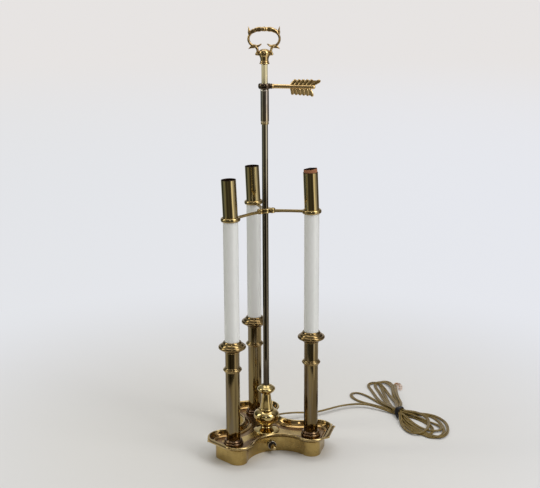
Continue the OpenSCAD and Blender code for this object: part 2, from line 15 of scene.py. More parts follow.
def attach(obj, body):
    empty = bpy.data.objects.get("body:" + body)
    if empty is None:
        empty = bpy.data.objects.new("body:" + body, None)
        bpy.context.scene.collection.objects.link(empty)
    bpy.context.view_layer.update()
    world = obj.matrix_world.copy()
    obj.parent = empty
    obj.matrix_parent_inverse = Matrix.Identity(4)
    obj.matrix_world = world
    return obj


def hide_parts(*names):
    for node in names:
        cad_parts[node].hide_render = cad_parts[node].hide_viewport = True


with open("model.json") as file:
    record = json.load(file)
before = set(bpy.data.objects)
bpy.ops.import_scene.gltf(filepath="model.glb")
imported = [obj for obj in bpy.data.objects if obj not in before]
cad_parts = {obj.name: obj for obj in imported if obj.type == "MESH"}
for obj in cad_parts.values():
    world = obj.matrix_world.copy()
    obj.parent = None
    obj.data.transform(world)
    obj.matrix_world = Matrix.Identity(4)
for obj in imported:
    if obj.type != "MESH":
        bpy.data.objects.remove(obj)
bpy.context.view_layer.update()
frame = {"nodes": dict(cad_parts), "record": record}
MM = 0.001
CRISP_ANGLE = 42  # faces that meet in less than this look smooth
RING_POINTS = 96  # points round a lathed piece
AXIS_R = 0.02  # radius that counts as a lathed piece's axis

# ---- driving dimensions (mm, degrees) ----

SIDE_TURN = {"left": 210, "right": 330, "rear": 90}
CANDLE_CIRCLE = 73.0
FLOOR_Z = 25.0
COLUMN_R = 11.1
COLUMN_H = 158.0
COLLAR_UP = 123.0
CUP_SEAT = 4.0
CANDLE_R = 11.5
CANDLE_GAP = 0.3  # between a candle's top and the bracket
COVER_R = 11.25
BRACKET_Z = 386.0
BRACKET_TILT = 2.2
TILT_TURN = 75.0
ROD_R = 4.75
ROD_TOP = 608.0
SLEEVE_TOP = 570.9
SLEEVE_H = 52.5
SLEEVE_R = 6.42
CLAMP_Z = 575.6
ARROW_TURN = -30.0
HANDLE_TURN = -15.0


def shift(x=0.0, y=0.0, z=0.0):
    return Matrix.Translation((x, y, z))


def spin(angle, axis="Z"):
    return Matrix.Rotation(math.radians(angle), 4, axis)


def turned(u, w, angle):
    """A point u along and w across a direction in the plan."""
    a = math.radians(angle)
    return u * math.cos(a) - w * math.sin(a), u * math.sin(a) + w * math.cos(a)


def lean_z(side):
    """Height that the bracket's lean adds at one candle."""
    across = math.cos(math.radians(SIDE_TURN[side] + 90 - TILT_TURN))
    return CANDLE_CIRCLE * across * math.tan(math.radians(BRACKET_TILT))


def cup_z(side):
    return FLOOR_Z + COLUMN_H + CUP_SEAT + lean_z(side)


def upright(side, z):
    """Placement of a piece that stands at a candle's axis."""
    return shift(*turned(CANDLE_CIRCLE, 0, SIDE_TURN[side]), z)


LEAN = spin(-BRACKET_TILT, Vector((*turned(1, 0, TILT_TURN), 0)))
ALONG = spin(90, "Y")  # turns a lathe's axis from up to ahead

# ---- mesh tools ----


def lengths(line):
    """Length of a line up to each of its points."""
    return np.concatenate([[0], np.cumsum(np.linalg.norm(np.diff(line, axis=0), axis=1))])


def spaced(line, step):
    """The line again, with its points about a step apart."""
    line = np.array(line, float)
    along = lengths(line)
    at = np.linspace(0, along[-1], max(2, int(round(along[-1] / step)) + 1))
    return np.stack([np.interp(at, along, line[:, k]) for k in range(line.shape[1])], axis=1)


def spline(stops, step):
    """Smooth line through some points, resampled a step apart."""
    p = np.array(stops, float)
    h = np.sqrt(np.linalg.norm(np.diff(p, axis=0), axis=1))[:, None]
    pace = np.diff(p, axis=0) / h
    lean = np.empty_like(p)
    lean[1:-1] = (pace[:-1] * h[1:] + pace[1:] * h[:-1]) / (h[1:] + h[:-1])
    lean[0] = 1.5 * pace[0] - 0.5 * lean[1]
    lean[-1] = 1.5 * pace[-1] - 0.5 * lean[-2]
    runs = []
    t = np.linspace(0, 1, 24, endpoint=False)[:, None]
    for k in range(len(p) - 1):
        runs.append((2 * t ** 3 - 3 * t ** 2 + 1) * p[k] + (3 * t ** 2 - 2 * t ** 3) * p[k + 1]
                    + h[k] * (t ** 3 - 2 * t ** 2 + t) * lean[k]
                    + h[k] * (t ** 3 - t ** 2) * lean[k + 1])
    return spaced(np.vstack(runs + [p[-1:]]), step)


def points(text):
    """Points written as "x,y x,y" or "x,y,z x,y,z"."""
    return [tuple(float(v) for v in word.split(",")) for word in text.split()]


def shape(text):
    """Profile of points; those in brackets are a smooth run, after the step between its points."""
    line = []
    for k, run in enumerate(text.replace(")", "(").split("(")):
        if k % 2:
            step, run = run.split(maxsplit=1)
            line += list(spline(points(run), float(step)))
        else:
            line += points(run)
    return line


def skin(rings, closed=False, caps=True):
    """Vertices and faces of a skin over rings of equally many points."""
    rings = [np.array(r, float) for r in rings]
    n, m = len(rings), len(rings[0])
    faces = []
    for k in range(n if closed else n - 1):
        a, b = k * m, (k + 1) % n * m
        faces += [(a + j, a + (j + 1) % m, b + (j + 1) % m, b + j) for j in range(m)]
    if caps and not closed:
        faces += [tuple(range(m - 1, -1, -1)), tuple(range((n - 1) * m, n * m))]
    return np.vstack(rings), faces


def straight(r, low, high, count):
    """Profile run of one radius from a low to a high point."""
    return [(r, z) for z in np.linspace(low, high, count)]


def lathe(profile, sides=RING_POINTS, wobble=None, solid=False):
    """A profile of (radius, height) turned round +Z; wobble(angle, r, z) moves its points.

    A profile that doesn't end at the axis is closed to a ring, unless it is solid.
    """
    angles = [2 * math.pi * j / sides for j in range(sides)]
    rings = []
    for r, z in profile:
        spots = [wobble(a, r, z) if wobble else (max(r, AXIS_R), z) for a in angles]
        rings.append([(q * math.cos(a), q * math.sin(a), h) for a, (q, h) in zip(angles, spots)])
    return skin(rings, closed=not solid and profile[-1][0] > AXIS_R)


def frames(path, up, closed=False):
    """Side and upper directions along a path, as square to it as up allows."""
    if closed:
        tangent = np.roll(path, -1, axis=0) - np.roll(path, 1, axis=0)
    else:
        tangent = np.gradient(path, axis=0)
    tangent /= np.linalg.norm(tangent, axis=1)[:, None]
    side = np.cross(tangent, np.array(up, float))
    side /= np.linalg.norm(side, axis=1)[:, None]
    return side, np.cross(side, tangent)


def sweep(path, up, half_w, half_h, sides=16, caps=True, closed=False, flute=None):
    """Bar of oval section along a path; half sizes are numbers or one for each point."""
    path = np.array(path, float)
    side, top = frames(path, up, closed)
    half_w = np.broadcast_to(half_w, len(path))
    half_h = np.broadcast_to(half_h, len(path))
    angles = np.linspace(0, 2 * math.pi, sides, endpoint=False)
    reach = [flute(a) if flute else 1.0 for a in angles]
    rings = []
    for k, p in enumerate(path):
        wide, high = half_w[k] * side[k], half_h[k] * top[k]
        rings.append([p + r * (math.cos(a) * wide + math.sin(a) * high)
                      for a, r in zip(angles, reach)])
    return skin(rings, closed=closed, caps=caps)


def taper(path, stops):
    """A value for each point of a path, from "share of its length,value" stops."""
    along = lengths(path)
    return np.interp(along / along[-1], *zip(*points(stops)))


def moved(mesh, matrix):
    verts, faces = mesh
    m = np.array(matrix, float)
    return np.array(verts) @ m[:3, :3].T + m[:3, 3], faces


def joined(*meshes):
    """One mesh of several separate shells."""
    verts, faces, count = [], [], 0
    for v, f in meshes:
        verts.append(np.array(v, float))
        faces += [tuple(i + count for i in face) for face in f]
        count += len(v)
    return np.vstack(verts), faces


def in_scene(name, data):
    """A new object in the scene."""
    made = bpy.data.objects.new(name, data)
    bpy.context.scene.collection.objects.link(made)
    return made


def piece(name, mesh, finish, *nodes, body="lamp", place=None, crisp=True, bands=(),
          ring=RING_POINTS):
    """Makes one piece, lets it ride on its body and hides the nodes that it stands for.

    bands holds (finish, first, last): the faces between those rings, ring points to a ring,
    take that finish instead.
    """
    verts, faces = moved(mesh, place) if place else mesh
    data = bpy.data.meshes.new(name)
    data.from_pydata([tuple(v) for v in np.array(verts) * MM], [], faces)
    data.polygons.foreach_set("use_smooth", [True] * len(data.polygons))
    if crisp:
        data.set_sharp_from_angle(angle=math.radians(CRISP_ANGLE))
    data.materials.append(FINISHES[finish])
    for slot_at, (other, first, last) in enumerate(bands, 1):
        data.materials.append(FINISHES[other])
        for face in data.polygons[first * ring:last * ring]:
            face.material_index = slot_at
    made = in_scene(name, data)
    outward(data)
    if crisp:
        made.modifiers.new("even_normals", "WEIGHTED_NORMAL").keep_sharp = True
    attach(made, body)
    if nodes:
        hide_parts(*nodes)
    return made


def outward(data):
    """Turns every face of a mesh to look outwards."""
    work = bmesh.new()
    work.from_mesh(data)
    bmesh.ops.recalc_face_normals(work, faces=work.faces)
    work.to_mesh(data)
    work.free()


# ---- camera ----

CAMERA_AT = (-411.45, -1556.95, 732.08)
CAMERA_YAW = 15.05
CAMERA_TILT = 13.91
CAMERA_ROLL = 0.26
LENS = 71.67
SENSOR_W = 36
NEAR_CLIP = 0.05  # metres


def make_camera():
    yaw, tilt, roll = (math.radians(a) for a in (CAMERA_YAW, CAMERA_TILT, CAMERA_ROLL))
    right = Vector((math.cos(yaw), -math.sin(yaw), 0))
    ahead = Vector((math.sin(yaw) * math.cos(tilt), math.cos(yaw) * math.cos(tilt),
                    -math.sin(tilt)))
    up = right.cross(ahead)
    right, up = (math.cos(roll) * right - math.sin(roll) * up,
                 math.sin(roll) * right + math.cos(roll) * up)
    data = bpy.data.cameras.new("camera")
    data.lens = LENS
    data.sensor_width = SENSOR_W
    data.clip_start = NEAR_CLIP
    turn = Matrix((right, up, -ahead)).transposed().to_4x4()
    bpy.context.scene.camera = in_scene("camera", data)
    bpy.context.scene.camera.matrix_world = shift(*Vector(CAMERA_AT) * MM) @ turn


make_camera()

# ---- finishes ----

FINISHES = {}  # each finish's material, by name


class Nodes:
    """Short names for the nodes of a material or a world."""

    def __init__(self, owner):
        owner.use_nodes = True
        self.nodes = owner.node_tree.nodes
        self.links = owner.node_tree.links

    def put(self, value, socket):
        """Sets a socket to a number or colour, or links it."""
        if isinstance(value, bpy.types.NodeSocket):
            self.links.new(value, socket)
        else:
            socket.default_value = (*value, 1) if socket.type == "RGBA" else value

    def add(self, kind, inputs=(), **settings):
        """A new node, with inputs as {name or number: value}."""
        node = self.nodes.new("ShaderNode" + kind)
        for name, value in settings.items():
            setattr(node, name, value)
        for name, value in dict(inputs).items():
            self.put(value, node.inputs[name])
        return node

    def ramp(self, value, *stops):
        """Colours or greys at shares of a value."""
        node = self.add("ValToRGB", {0: value})
        marks = node.color_ramp.elements
        while len(marks) < len(stops):
            marks.new(0.5)
        for mark, (at, colour) in zip(marks, stops):
            mark.position = at
            mark.color = (colour,) * 3 + (1,) if isinstance(colour, float) else (*colour, 1)
        return node.outputs[0]

    def mix(self, share, a, b):
        return self.add("Mix", {0: share, 6: a, 7: b}, data_type="RGBA").outputs[2]

    def blend(self, share, a, b):
        """Mix of two shaders."""
        return self.add("MixShader", {0: share, 1: a, 2: b}).outputs[0]

    def calc(self, a, b, kind="ADD"):
        return self.add("Math", {0: a, 1: b}, operation=kind).outputs[0]

    def between(self, value, low, high, kind="SMOOTHSTEP"):
        """0 up to a low value, 1 from a high one."""
        return self.add("MapRange", {0: value, 1: low, 2: high},
                        interpolation_type=kind).outputs[0]


class Finish(Nodes):
    """A material, its shader and the piece's own coordinates."""

    def __init__(self, name, slot=""):
        self.material = FINISHES[name] = bpy.data.materials.new(name)
        super().__init__(self.material)
        self.shader = self.nodes["Principled BSDF"]
        self.place = self.add("TexCoord").outputs["Object"]

    def set(self, **values):
        """Sets the shader's sockets, with _ for the spaces in their names."""
        for name, value in values.items():
            self.put(value, self.shader.inputs[name.replace("_", " ")])

    def stretch(self, *scale):
        """The piece's own coordinates, scaled along each axis."""
        return self.add("Mapping", {"Vector": self.place, "Scale": scale}).outputs[0]

    def noise(self, scale, detail=4.0, rough=0.55, warp=0.0, at=None):
        return self.add("TexNoise", {"Vector": at or self.place, "Scale": scale, "Detail": detail,
                                     "Roughness": rough, "Distortion": warp}).outputs["Fac"]

    def edges(self, low, high):
        """1 on raised edges and 0 in hollows, from the mesh's own shape."""
        return self.between(self.add("NewGeometry").outputs["Pointiness"], low, high)

    def along(self, way):
        """How far a point lies along a direction."""
        return self.add("VectorMath", {0: self.place, 1: way},
                        operation="DOT_PRODUCT").outputs["Value"]

    def bump(self, value, depth):
        """Bump of a depth in millimetres."""
        node = self.add("Bump", {"Distance": depth * MM, "Strength": 1.0, "Height": value})
        self.set(Normal=node.outputs[0])


PATCHES, SPECKS, STREAKS, GRAIN = 28, 150, 125, 420  # noise scales of brass
WANDER = 0.012  # metres that brass's height marks wander


def brass(name, slot, tones, rough, tarnish, spots, grain=(1, 1, 1), depth=0.02, hollow_shade=0.0,
          by_height="", stain=0.0):
    """Brass of three tones: bright metal, a dull bloom in patches and dark spots.

    Painted shade darkens hollows, by the share given after depth; by_height holds (height in mm,
    share of the dark tone) marks; stain is the share of a brown bloom in streaks.
    """
    f = Finish(name, slot)
    bright, dull, dark = points(tones)
    at = f.stretch(*grain)
    cloud = f.noise(PATCHES, 6, 0.6, 0.4, at)
    fine = f.noise(GRAIN, 4, 0.6, 0.0, at)
    bloom = f.ramp(cloud, (0.62 - tarnish * 0.4, 0.0), (0.8 - tarnish * 0.3, 1.0))
    colour = f.mix(bloom, bright, dull)
    specks = f.ramp(f.noise(SPECKS, 5, 0.65, 0.6, at), (0.6, 0.0), (0.72, spots))
    colour = f.mix(specks, colour, dark)
    if stain:
        worn = f.noise(SPECKS, 3, 0.5, 0.2, f.stretch(1, 1, 0.03))
        colour = f.mix(f.ramp(worn, (0.4, 0.6), (0.58, 0.0)), colour, dark)
        streak = f.noise(STREAKS, 3, 0.5, 0.3, f.stretch(1, 1, 0.1))
        colour = f.mix(f.ramp(streak, (0.54, 0.0), (0.66, stain)), colour, (0.23, 0.2, 0.165))
    # painted shade: hollows, found from the mesh's pointiness, go towards a darker dull tone
    if hollow_shade:
        colour = f.mix(f.edges(0.43, 0.5), tuple(hollow_shade * c for c in dull), colour)
    if by_height:
        marks = points(by_height)
        low, high = marks[0][0], marks[-1][0]
        height = f.add("SeparateXYZ", {0: f.place}).outputs["Z"]
        mark = f.between(f.calc(height, f.calc(cloud, WANDER, "MULTIPLY")),
                         low * MM + WANDER / 2, high * MM + WANDER / 2, "LINEAR")
        share = f.ramp(mark, *[((z - low) / (high - low), v) for z, v in marks])
        colour = f.mix(share, colour, dark)
    haze = f.calc(f.calc(cloud, 0.65, "MULTIPLY"), f.calc(fine, 0.35, "MULTIPLY"))
    f.set(Base_Color=colour, Metallic=1.0,
          Roughness=f.ramp(haze, (0.35, rough[0]), (0.65, rough[1])))
    f.bump(f.calc(fine, f.calc(cloud, 2.0, "MULTIPLY")), depth)


def plain_metal(name, colour, rough):
    f = Finish(name)
    cloud = f.noise(90, 5, 0.6)
    f.set(Base_Color=f.mix(cloud, tuple(0.75 * c for c in colour), colour), Metallic=1.0,
          Roughness=f.ramp(cloud, (0.3, rough), (0.7, rough + 0.15)))
    f.bump(f.noise(500, 3), 0.015)


def matt(name, colour, rough, scale=120.0, depth=0.05, spread=0.25):
    """Plain non-metal with some cloud in its colour and a fine grain."""
    f = Finish(name)
    cloud = f.noise(scale, 5, 0.6)
    f.set(Base_Color=f.mix(cloud, tuple((1 - spread) * c for c in colour), colour),
          Roughness=f.ramp(cloud, (0.3, rough - 0.08), (0.7, rough + 0.08)))
    f.bump(f.noise(scale * 5, 3), depth)
    return f


def candle_white():
    f = Finish("candle_white")
    cloud = f.noise(60, 3, at=f.stretch(1, 1, 0.1))
    f.set(Base_Color=f.mix(cloud, (0.8, 0.81, 0.78), (0.86, 0.86, 0.84)), Roughness=0.22,
          Coat_Weight=0.3, Coat_Roughness=0.08)
    f.bump(f.noise(35, 2, at=f.stretch(1, 1, 0.12)), 0.05)


def cord_skin():
    """Clear gold plastic over stranded copper, with painted shade in the valleys between the cores
    and painted highlights along the twist.
    """
    f = Finish("cord")
    cloud = f.noise(70, 4)
    strands_and_glints = f.noise(900, 2, 0.5)
    tone = f.mix(cloud, (0.098, 0.06, 0.009), (0.225, 0.15, 0.038))
    # painted shade in the valley between the cores and where turns touch
    tone = f.mix(f.edges(0.46, 0.53), (0.025, 0.014, 0.004), tone)
    # lighter flecks along the twist: the strands' pattern, partly painted highlights
    tone = f.mix(f.ramp(strands_and_glints, (0.5, 0.0), (0.72, 0.6)), tone, (0.44, 0.32, 0.12))
    f.set(Base_Color=tone, Roughness=f.ramp(cloud, (0.3, 0.26), (0.7, 0.38)),
          Specular_IOR_Level=0.18, Coat_Weight=0.12, Coat_Roughness=0.08)
    f.bump(strands_and_glints, 0.07)


UPRIGHT = (1, 1, 0.12)  # grain drawn out along upright tubes
POLISHED, TARNISHED = "polished_brass", "tarnished_brass"
SATIN, DARK = "satin_brass", "dark_brass"
# name and slot, the bright, dull and dark tones, least and most roughness, tarnish, dark spots
brass(POLISHED, POLISHED, "0.62,0.47,0.22 0.42,0.29,0.12 0.12,0.07,0.03", (0.05, 0.13), 0.45, 0.35,
      hollow_shade=0.5)
brass(TARNISHED, TARNISHED, "0.34,0.26,0.12 0.19,0.135,0.07 0.07,0.04,0.025", (0.12, 0.22), 0.6,
      0.5, UPRIGHT)
brass(DARK, DARK, "0.24,0.16,0.075 0.12,0.075,0.04 0.04,0.02,0.015", (0.1, 0.22), 0.6, 0.5)
# near-black brass that paints shade into grooves, recesses and the insides of openings
brass("painted_shade_brass", DARK, "0.06,0.035,0.02 0.035,0.02,0.012 0.02,0.01,0.01", (0.35, 0.5), 0.6,
      0.5)
brass(SATIN, SATIN, "0.5,0.36,0.13 0.35,0.24,0.083 0.13,0.08,0.032", (0.17, 0.3), 0.5, 0.45,
      depth=0.03)
brass("rim_brass", SATIN, "0.52,0.39,0.18 0.33,0.225,0.09 0.11,0.07,0.03", (0.05, 0.13), 0.45, 0.5,
      hollow_shade=0.35)
brass("cove_brass", SATIN, "0.42,0.28,0.11 0.26,0.155,0.06 0.09,0.05,0.025", (0.09, 0.19), 0.5,
      0.5, hollow_shade=0.4)
brass("tray_brass", SATIN, "0.27,0.17,0.078 0.165,0.098,0.045 0.09,0.05,0.025", (0.18, 0.32), 0.55,
      0.5)
brass("foot_brass", DARK, "0.3,0.2,0.1 0.14,0.085,0.05 0.05,0.03,0.02", (0.05, 0.13), 0.6, 0.5,
      hollow_shade=0.4)
brass("column_brass", TARNISHED, "0.4,0.31,0.13 0.27,0.195,0.085 0.065,0.04,0.02", (0.045, 0.11),
      0.5, 0.45, UPRIGHT, stain=0.5, by_height="25,0.9 36,0.8 46,0.38 130,0.34 170,0.1 260,0.05")
brass("collar_brass", TARNISHED, "0.38,0.275,0.12 0.22,0.145,0.062 0.07,0.04,0.02", (0.03, 0.09),
      0.5, 0.3, depth=0.008, hollow_shade=0.28)
brass("cup_brass", POLISHED, "0.33,0.23,0.095 0.17,0.11,0.045 0.055,0.032,0.016", (0.03, 0.09),
      0.5, 0.3, depth=0.008, hollow_shade=0.22)
brass("cover_brass", POLISHED, "0.57,0.465,0.23 0.42,0.32,0.14 0.12,0.08,0.03", (0.03, 0.08), 0.4,
      0.3, UPRIGHT)
# the rod's brass is painted darker below the bracket and lighter towards the clamp: a painted
# reflection of the dark room
brass("rod_brass", DARK, "0.55,0.5,0.36 0.4,0.34,0.22 0.058,0.043,0.029", (0.025, 0.07), 0.4, 0.15,
      UPRIGHT, by_height="90,0.98 128,0.96 150,0.82 400,0.8 440,0.38 500,0.18 577,0.1")
# a paler copy of the rod's brass for its top above the clamp: painted highlight
brass("rod_top_lit_brass", DARK, "0.95,0.87,0.6 0.8,0.67,0.38 0.4,0.29,0.12", (0.02, 0.06), 0.4, 0.4,
      UPRIGHT)
brass("vase_brass", POLISHED, "0.55,0.42,0.18 0.36,0.245,0.09 0.11,0.065,0.025", (0.03, 0.09), 0.4,
      0.4, hollow_shade=0.4)
brass("bracket_brass", POLISHED, "0.45,0.335,0.145 0.26,0.18,0.072 0.07,0.042,0.02", (0.05, 0.13),
      0.5, 0.45, hollow_shade=0.3)
brass("clamp_brass", POLISHED, "0.15,0.11,0.07 0.065,0.045,0.032 0.03,0.02,0.015", (0.04, 0.1),
      0.5, 0.4, hollow_shade=0.4)
brass("sleeve_brass", TARNISHED, "0.66,0.61,0.52 0.17,0.12,0.11 0.52,0.37,0.12", (0.02, 0.05),
      0.45, 0.3, (1, 1, 0.3), by_height="518,0.85 523,0.45 536,0.25 552,0.05 571,0")
brass("arrow_brass", POLISHED, "0.84,0.6,0.28 0.66,0.44,0.19 0.24,0.15,0.06", (0.14, 0.24), 0.45,
      0.15, depth=0.004, hollow_shade=0.45)
brass("finial_brass", POLISHED, "0.6,0.425,0.19 0.34,0.215,0.09 0.09,0.05,0.022", (0.05, 0.13),
      0.5, 0.4, hollow_shade=0.25)
brass("knob_brass", POLISHED, "0.62,0.47,0.22 0.42,0.3,0.13 0.1,0.06,0.03", (0.1, 0.2), 0.4, 0.3,
      hollow_shade=0.3)
plain_metal("steel", (0.58, 0.57, 0.55), 0.28)
plain_metal("nickel", (0.72, 0.69, 0.62), 0.18)
plain_metal("copper", (0.9, 0.6, 0.38), 0.25)
matt("dark_steel", (0.05, 0.05, 0.05), 0.5)
matt("felt", (0.035, 0.07, 0.045), 0.95, 900.0, 0.35, 0.5)
matt("black_phenolic", (0.03, 0.026, 0.022), 0.35)
matt("porcelain", (0.8, 0.77, 0.7), 0.15, 60.0, 0.02, 0.05)
matt("wire_insulation", (0.035, 0.035, 0.035), 0.45)
matt("liner_card", (0.42, 0.165, 0.07), 0.75, 260.0, 0.12, 0.4)
matt("tie", (0.009, 0.008, 0.009), 0.5).set(Specular_IOR_Level=0.2)
candle_white()
cord_skin()

# ---- cord ----

CORD_W = 5.4
CORD_T = 2.7
WEB_OPENING = 32  # half of each core's outline that its web takes, in degrees
CORNER_AT = (77.5, 15.0)  # middle of a lobe's corner, along and across the lobe
EXIT_TURN = 12.0
EXIT_OUT = turned(14.5, 0, EXIT_TURN)
EXIT_AT = np.array([CORNER_AT[1] + EXIT_OUT[0], CORNER_AT[0] + EXIT_OUT[1], 0.0])
EXIT_Z = 12.0
FLANGE_T = 2.5
LEAD = points("""10,2.4,12.1 19,5.2,11.9 29,7.4,11.3 39,8.8,10.4 50,9.5,9 62,9,7.8 76,8.3,6.9
    90,11.3,6.5 104,15.8,6.5 118,20.3,6.5 132,24.1,6.5 146,25.8,6.5 160,24.8,6.5 174,19.8,7
    185,11.3,7.5 195,0.8,8""")
TIE_AT = EXIT_AT + (222, -27, 0)
TIE_TURN = 20.0
ACROSS_TIE = Vector((*turned(1, 0, TIE_TURN), 0))
BEFORE_TIE = Vector((*turned(0, -1, TIE_TURN), 0))
SLOT_W = 6.2  # between passes side by side in the tie
SLOT_H = 2.9  # between passes on top of each other
SLOT_Z = 3.6
SLOT_L = 7  # of a pass, to either side of the tie's middle
LOOP_Z, LOOP_H = 3.0, 1.4  # height of the first loops, and what each later one adds
# Column and row of each pass through the tie, in the cord's order
PASSES = [(-1, 0), (0, 0), (-1, 1), (1, 0), (0, 1), (1, 1), (-1, 2), (0, 2), (-1, 3), (1, 2)]
# Loops in front of the tie and behind it, in the cord's order, from a point LOOPS_AT in the plan
LOOPS_AT = (3, 12)
FRONT = [points(loop) for loop in (
    "240,4 241,-24 252,-50 266,-52 278,-32 276,-4 266,20",
    "243,2 248,-32 262,-66 279,-64 294,-42 300,-8 294,20 272,32",
    "246,4 254,-34 271,-71 289,-61 304,-34 309,-6 300,17 276,30",
    "250,8 258,-20 273,-44 291,-42 292,-22 277,4 264,24",
    "238,12 233,-14 236,-40 247,-50 261,-42 275,-22 284,4 280,24 266,34",
)]
BACK = [points(loop) for loop in (
    "243,66 232,98 222,136 211,154 200,154 195,140 200,116 217,94 235,68",
    "258,72 266,112 280,156 287,178 283,192 272,194 265,180 258,146 250,100 246,66",
    "262,72 270,118 279,156 279,178 271,190 259,188 253,172 250,146 245,104 242,66",
    "256,74 262,124 264,166 261,184 251,190 242,182 240,160 237,130 235,100 239,66",
    "263,70 272,112 284,150 291,172",
)]
TABLE_Z = 1.5  # height of a cord's middle where it lies flat on the table


def tie_slot(k, along):
    """Middle of the k-th pass, some way to the front of the tie's middle."""
    column, row = PASSES[k]
    at = Vector(TIE_AT) + ACROSS_TIE * column * SLOT_W + BEFORE_TIE * along
    return at.x, at.y, SLOT_Z + row * SLOT_H


def hank_route():
    """Points of the tied bundle, and which of them the tie or the lead holds."""
    route, held = [], []

    def through(k, way):
        route.extend(tie_slot(k, way * along) for along in (-SLOT_L, 0, SLOT_L))
        held.extend([True] * 3)

    def free(loop, layer):
        for x, y in loop:
            route.append((x + LOOPS_AT[0], y + LOOPS_AT[1], LOOP_Z + LOOP_H * layer))
            held.append(False)

    for k, (front, back) in enumerate(zip(FRONT, BACK)):
        through(2 * k, 1)
        free(front, k)
        through(2 * k + 1, -1)
        free(back, k)
    return route, held


def cord_roll(k):
    """How far the flat cord is turned round its own line at its k-th point."""
    return 0.32 * math.sin(k * 0.061) + 0.16 * math.sin(k * 0.151 + 1)


ROUTE_STEP = 3.0  # between points of the laid cord
APART = 1.08  # height between crossing turns, as a share of what they need
ROLLED_UP = 1.35  # what a cord on its edge adds to its middle's height
EASE_ROUNDS = 10  # of rounding the route in the plan
LAY_ROUNDS = 120  # of letting it down
FALL = 0.12  # of a free point in each of those
STIFF = 0.55  # share of its neighbours' height that a point takes


def settled(route, held):
    """Lays the route down: later turns rest on earlier ones, the stiff cord bridges dips."""
    route = np.array(route, float)
    line = spline(route, ROUTE_STEP)
    fixed = np.zeros(len(line), bool)
    for p, h in zip(route, held):
        if h:
            fixed[np.linalg.norm(line - p, axis=1).argmin()] = True
    for _ in range(EASE_ROUNDS):
        eased = line[:, :2].copy()
        eased[1:-1] = 0.5 * line[1:-1, :2] + 0.25 * (line[:-2, :2] + line[2:, :2])
        line[~fixed, :2] = eased[~fixed]
    for k in range(1, len(line) - 1):
        fixed[k] = fixed[k] or (fixed[max(0, k - 2):k].any() and fixed[k + 1:k + 3].any())
    gap = np.linalg.norm(line[:, None, :2] - line[None, :, :2], axis=2)
    order = np.arange(len(line))
    low, high = np.nonzero((gap < CORD_W) & (order[None, :] - order[:, None] > 6))
    need = np.sqrt(CORD_W ** 2 - gap[low, high] ** 2) * CORD_T / CORD_W * APART
    table = TABLE_Z + ROLLED_UP * np.abs(np.sin([cord_roll(k) for k in order]))
    z = line[:, 2].copy()
    rest = z.copy()
    for _ in range(LAY_ROUNDS):
        z[~fixed] -= FALL
        smooth = z.copy()
        smooth[3:-3] = (z[:-6] + z[1:-5] + z[2:-4] + z[4:-2] + z[5:-1] + z[6:]) / 6
        z = np.where(fixed, rest, (1 - STIFF) * z + STIFF * smooth)
        short = np.maximum(need - (z[high] - z[low]), 0)
        lift, drop = np.zeros(len(z)), np.zeros(len(z))
        np.maximum.at(lift, high, 0.6 * short)
        np.maximum.at(drop, low, 0.4 * short)
        z = np.maximum(np.where(fixed, rest, z + lift - drop), table)
    weights = np.exp(-0.5 * (np.arange(-6, 7) / 2.6) ** 2)
    weights /= weights.sum()
    for _ in range(3):
        z[6:-6] = np.convolve(z, weights, "valid")
        z = np.maximum(z, table)
    z[8:-8] = np.convolve(z, np.ones(5) / 5, "same")[8:-8]
    line[:, 2] = z
    return line


def twin_section():
    """Outline of the cord: two round cores side by side, with a web between them."""
    r = CORD_T / 2
    c = CORD_W / 2 - r
    end = math.pi - math.radians(WEB_OPENING)
    right = [(c + r * math.cos(a), r * math.sin(a)) for a in np.linspace(-end, end, 9)]
    return right + [(-x, -y) for x, y in right]


def make_cord():
    start = (*turned(FLANGE_T, 0, EXIT_TURN), EXIT_Z)
    lead = [EXIT_AT + p for p in [start] + LEAD]
    route, held = hank_route()
    path = settled(lead + route, [True] * len(lead) + held)
    side, top = frames(path, (0, 0, 1))
    section = twin_section()
    rings = []
    for k, p in enumerate(path):
        c, s = math.cos(cord_roll(k)), math.sin(cord_roll(k))
        across, above = c * side[k] + s * top[k], c * top[k] - s * side[k]
        rings.append([p + a * across + b * above for a, b in section])
    flex = piece("flex", skin(rings), "cord", "cord_lead", "cord_hank", crisp=False)
    return flex, path, float(lengths(path)[-1]) * MM


flex, cord_path, cord_length = make_cord()

# ---- base ----

LOBE_REACH = 103.0
LOBE_CORNER = 25.5
HOLLOW_FLOOR = 38.6
CAVITY_Z = 22.0
PLATE_END = 107.7  # outer edge of the plate on a lobe's straight end
PLATE_W = 20.6  # half of the plate's width at that edge
PLATE_SPLAY = 0.86  # and how fast it widens inwards


def hollow_circle():
    """Radius and centre of the circle that hollows the side between two lobes."""
    c, s = math.cos(math.radians(60)), math.sin(math.radians(60))
    x, y = HOLLOW_FLOOR * c - CORNER_AT[0], HOLLOW_FLOOR * s - CORNER_AT[1]
    r = (x * x + y * y - LOBE_CORNER ** 2) / (2 * (LOBE_CORNER - (x * c + y * s)))
    return r, ((HOLLOW_FLOOR + r) * c, (HOLLOW_FLOOR + r) * s)


def outline(d, z):
    """Ring of points round the trefoil grown by d, at one height."""
    hollow_r, (hu, hw) = hollow_circle()
    cu, cw = CORNER_AT
    touch = math.atan2(hw - cw, hu - cu)

    def arc(u, w, r, first, last, count):
        return [(u + r * math.cos(a), w + r * math.sin(a))
                for a in np.linspace(first, last, count)[1:]]

    half = [(LOBE_REACH + d, w) for w in np.linspace(0, cw, 6)]
    half += arc(cu, cw, LOBE_CORNER + d, 0, touch, 22)
    half += arc(hu, hw, hollow_r - d, touch + math.pi, math.radians(240), 26)
    lobe = [(u, -w) for u, w in reversed(half[1:])] + half[:-1]
    return [(*turned(u, w, a), z) for a in (90, 210, 330) for u, w in lobe]


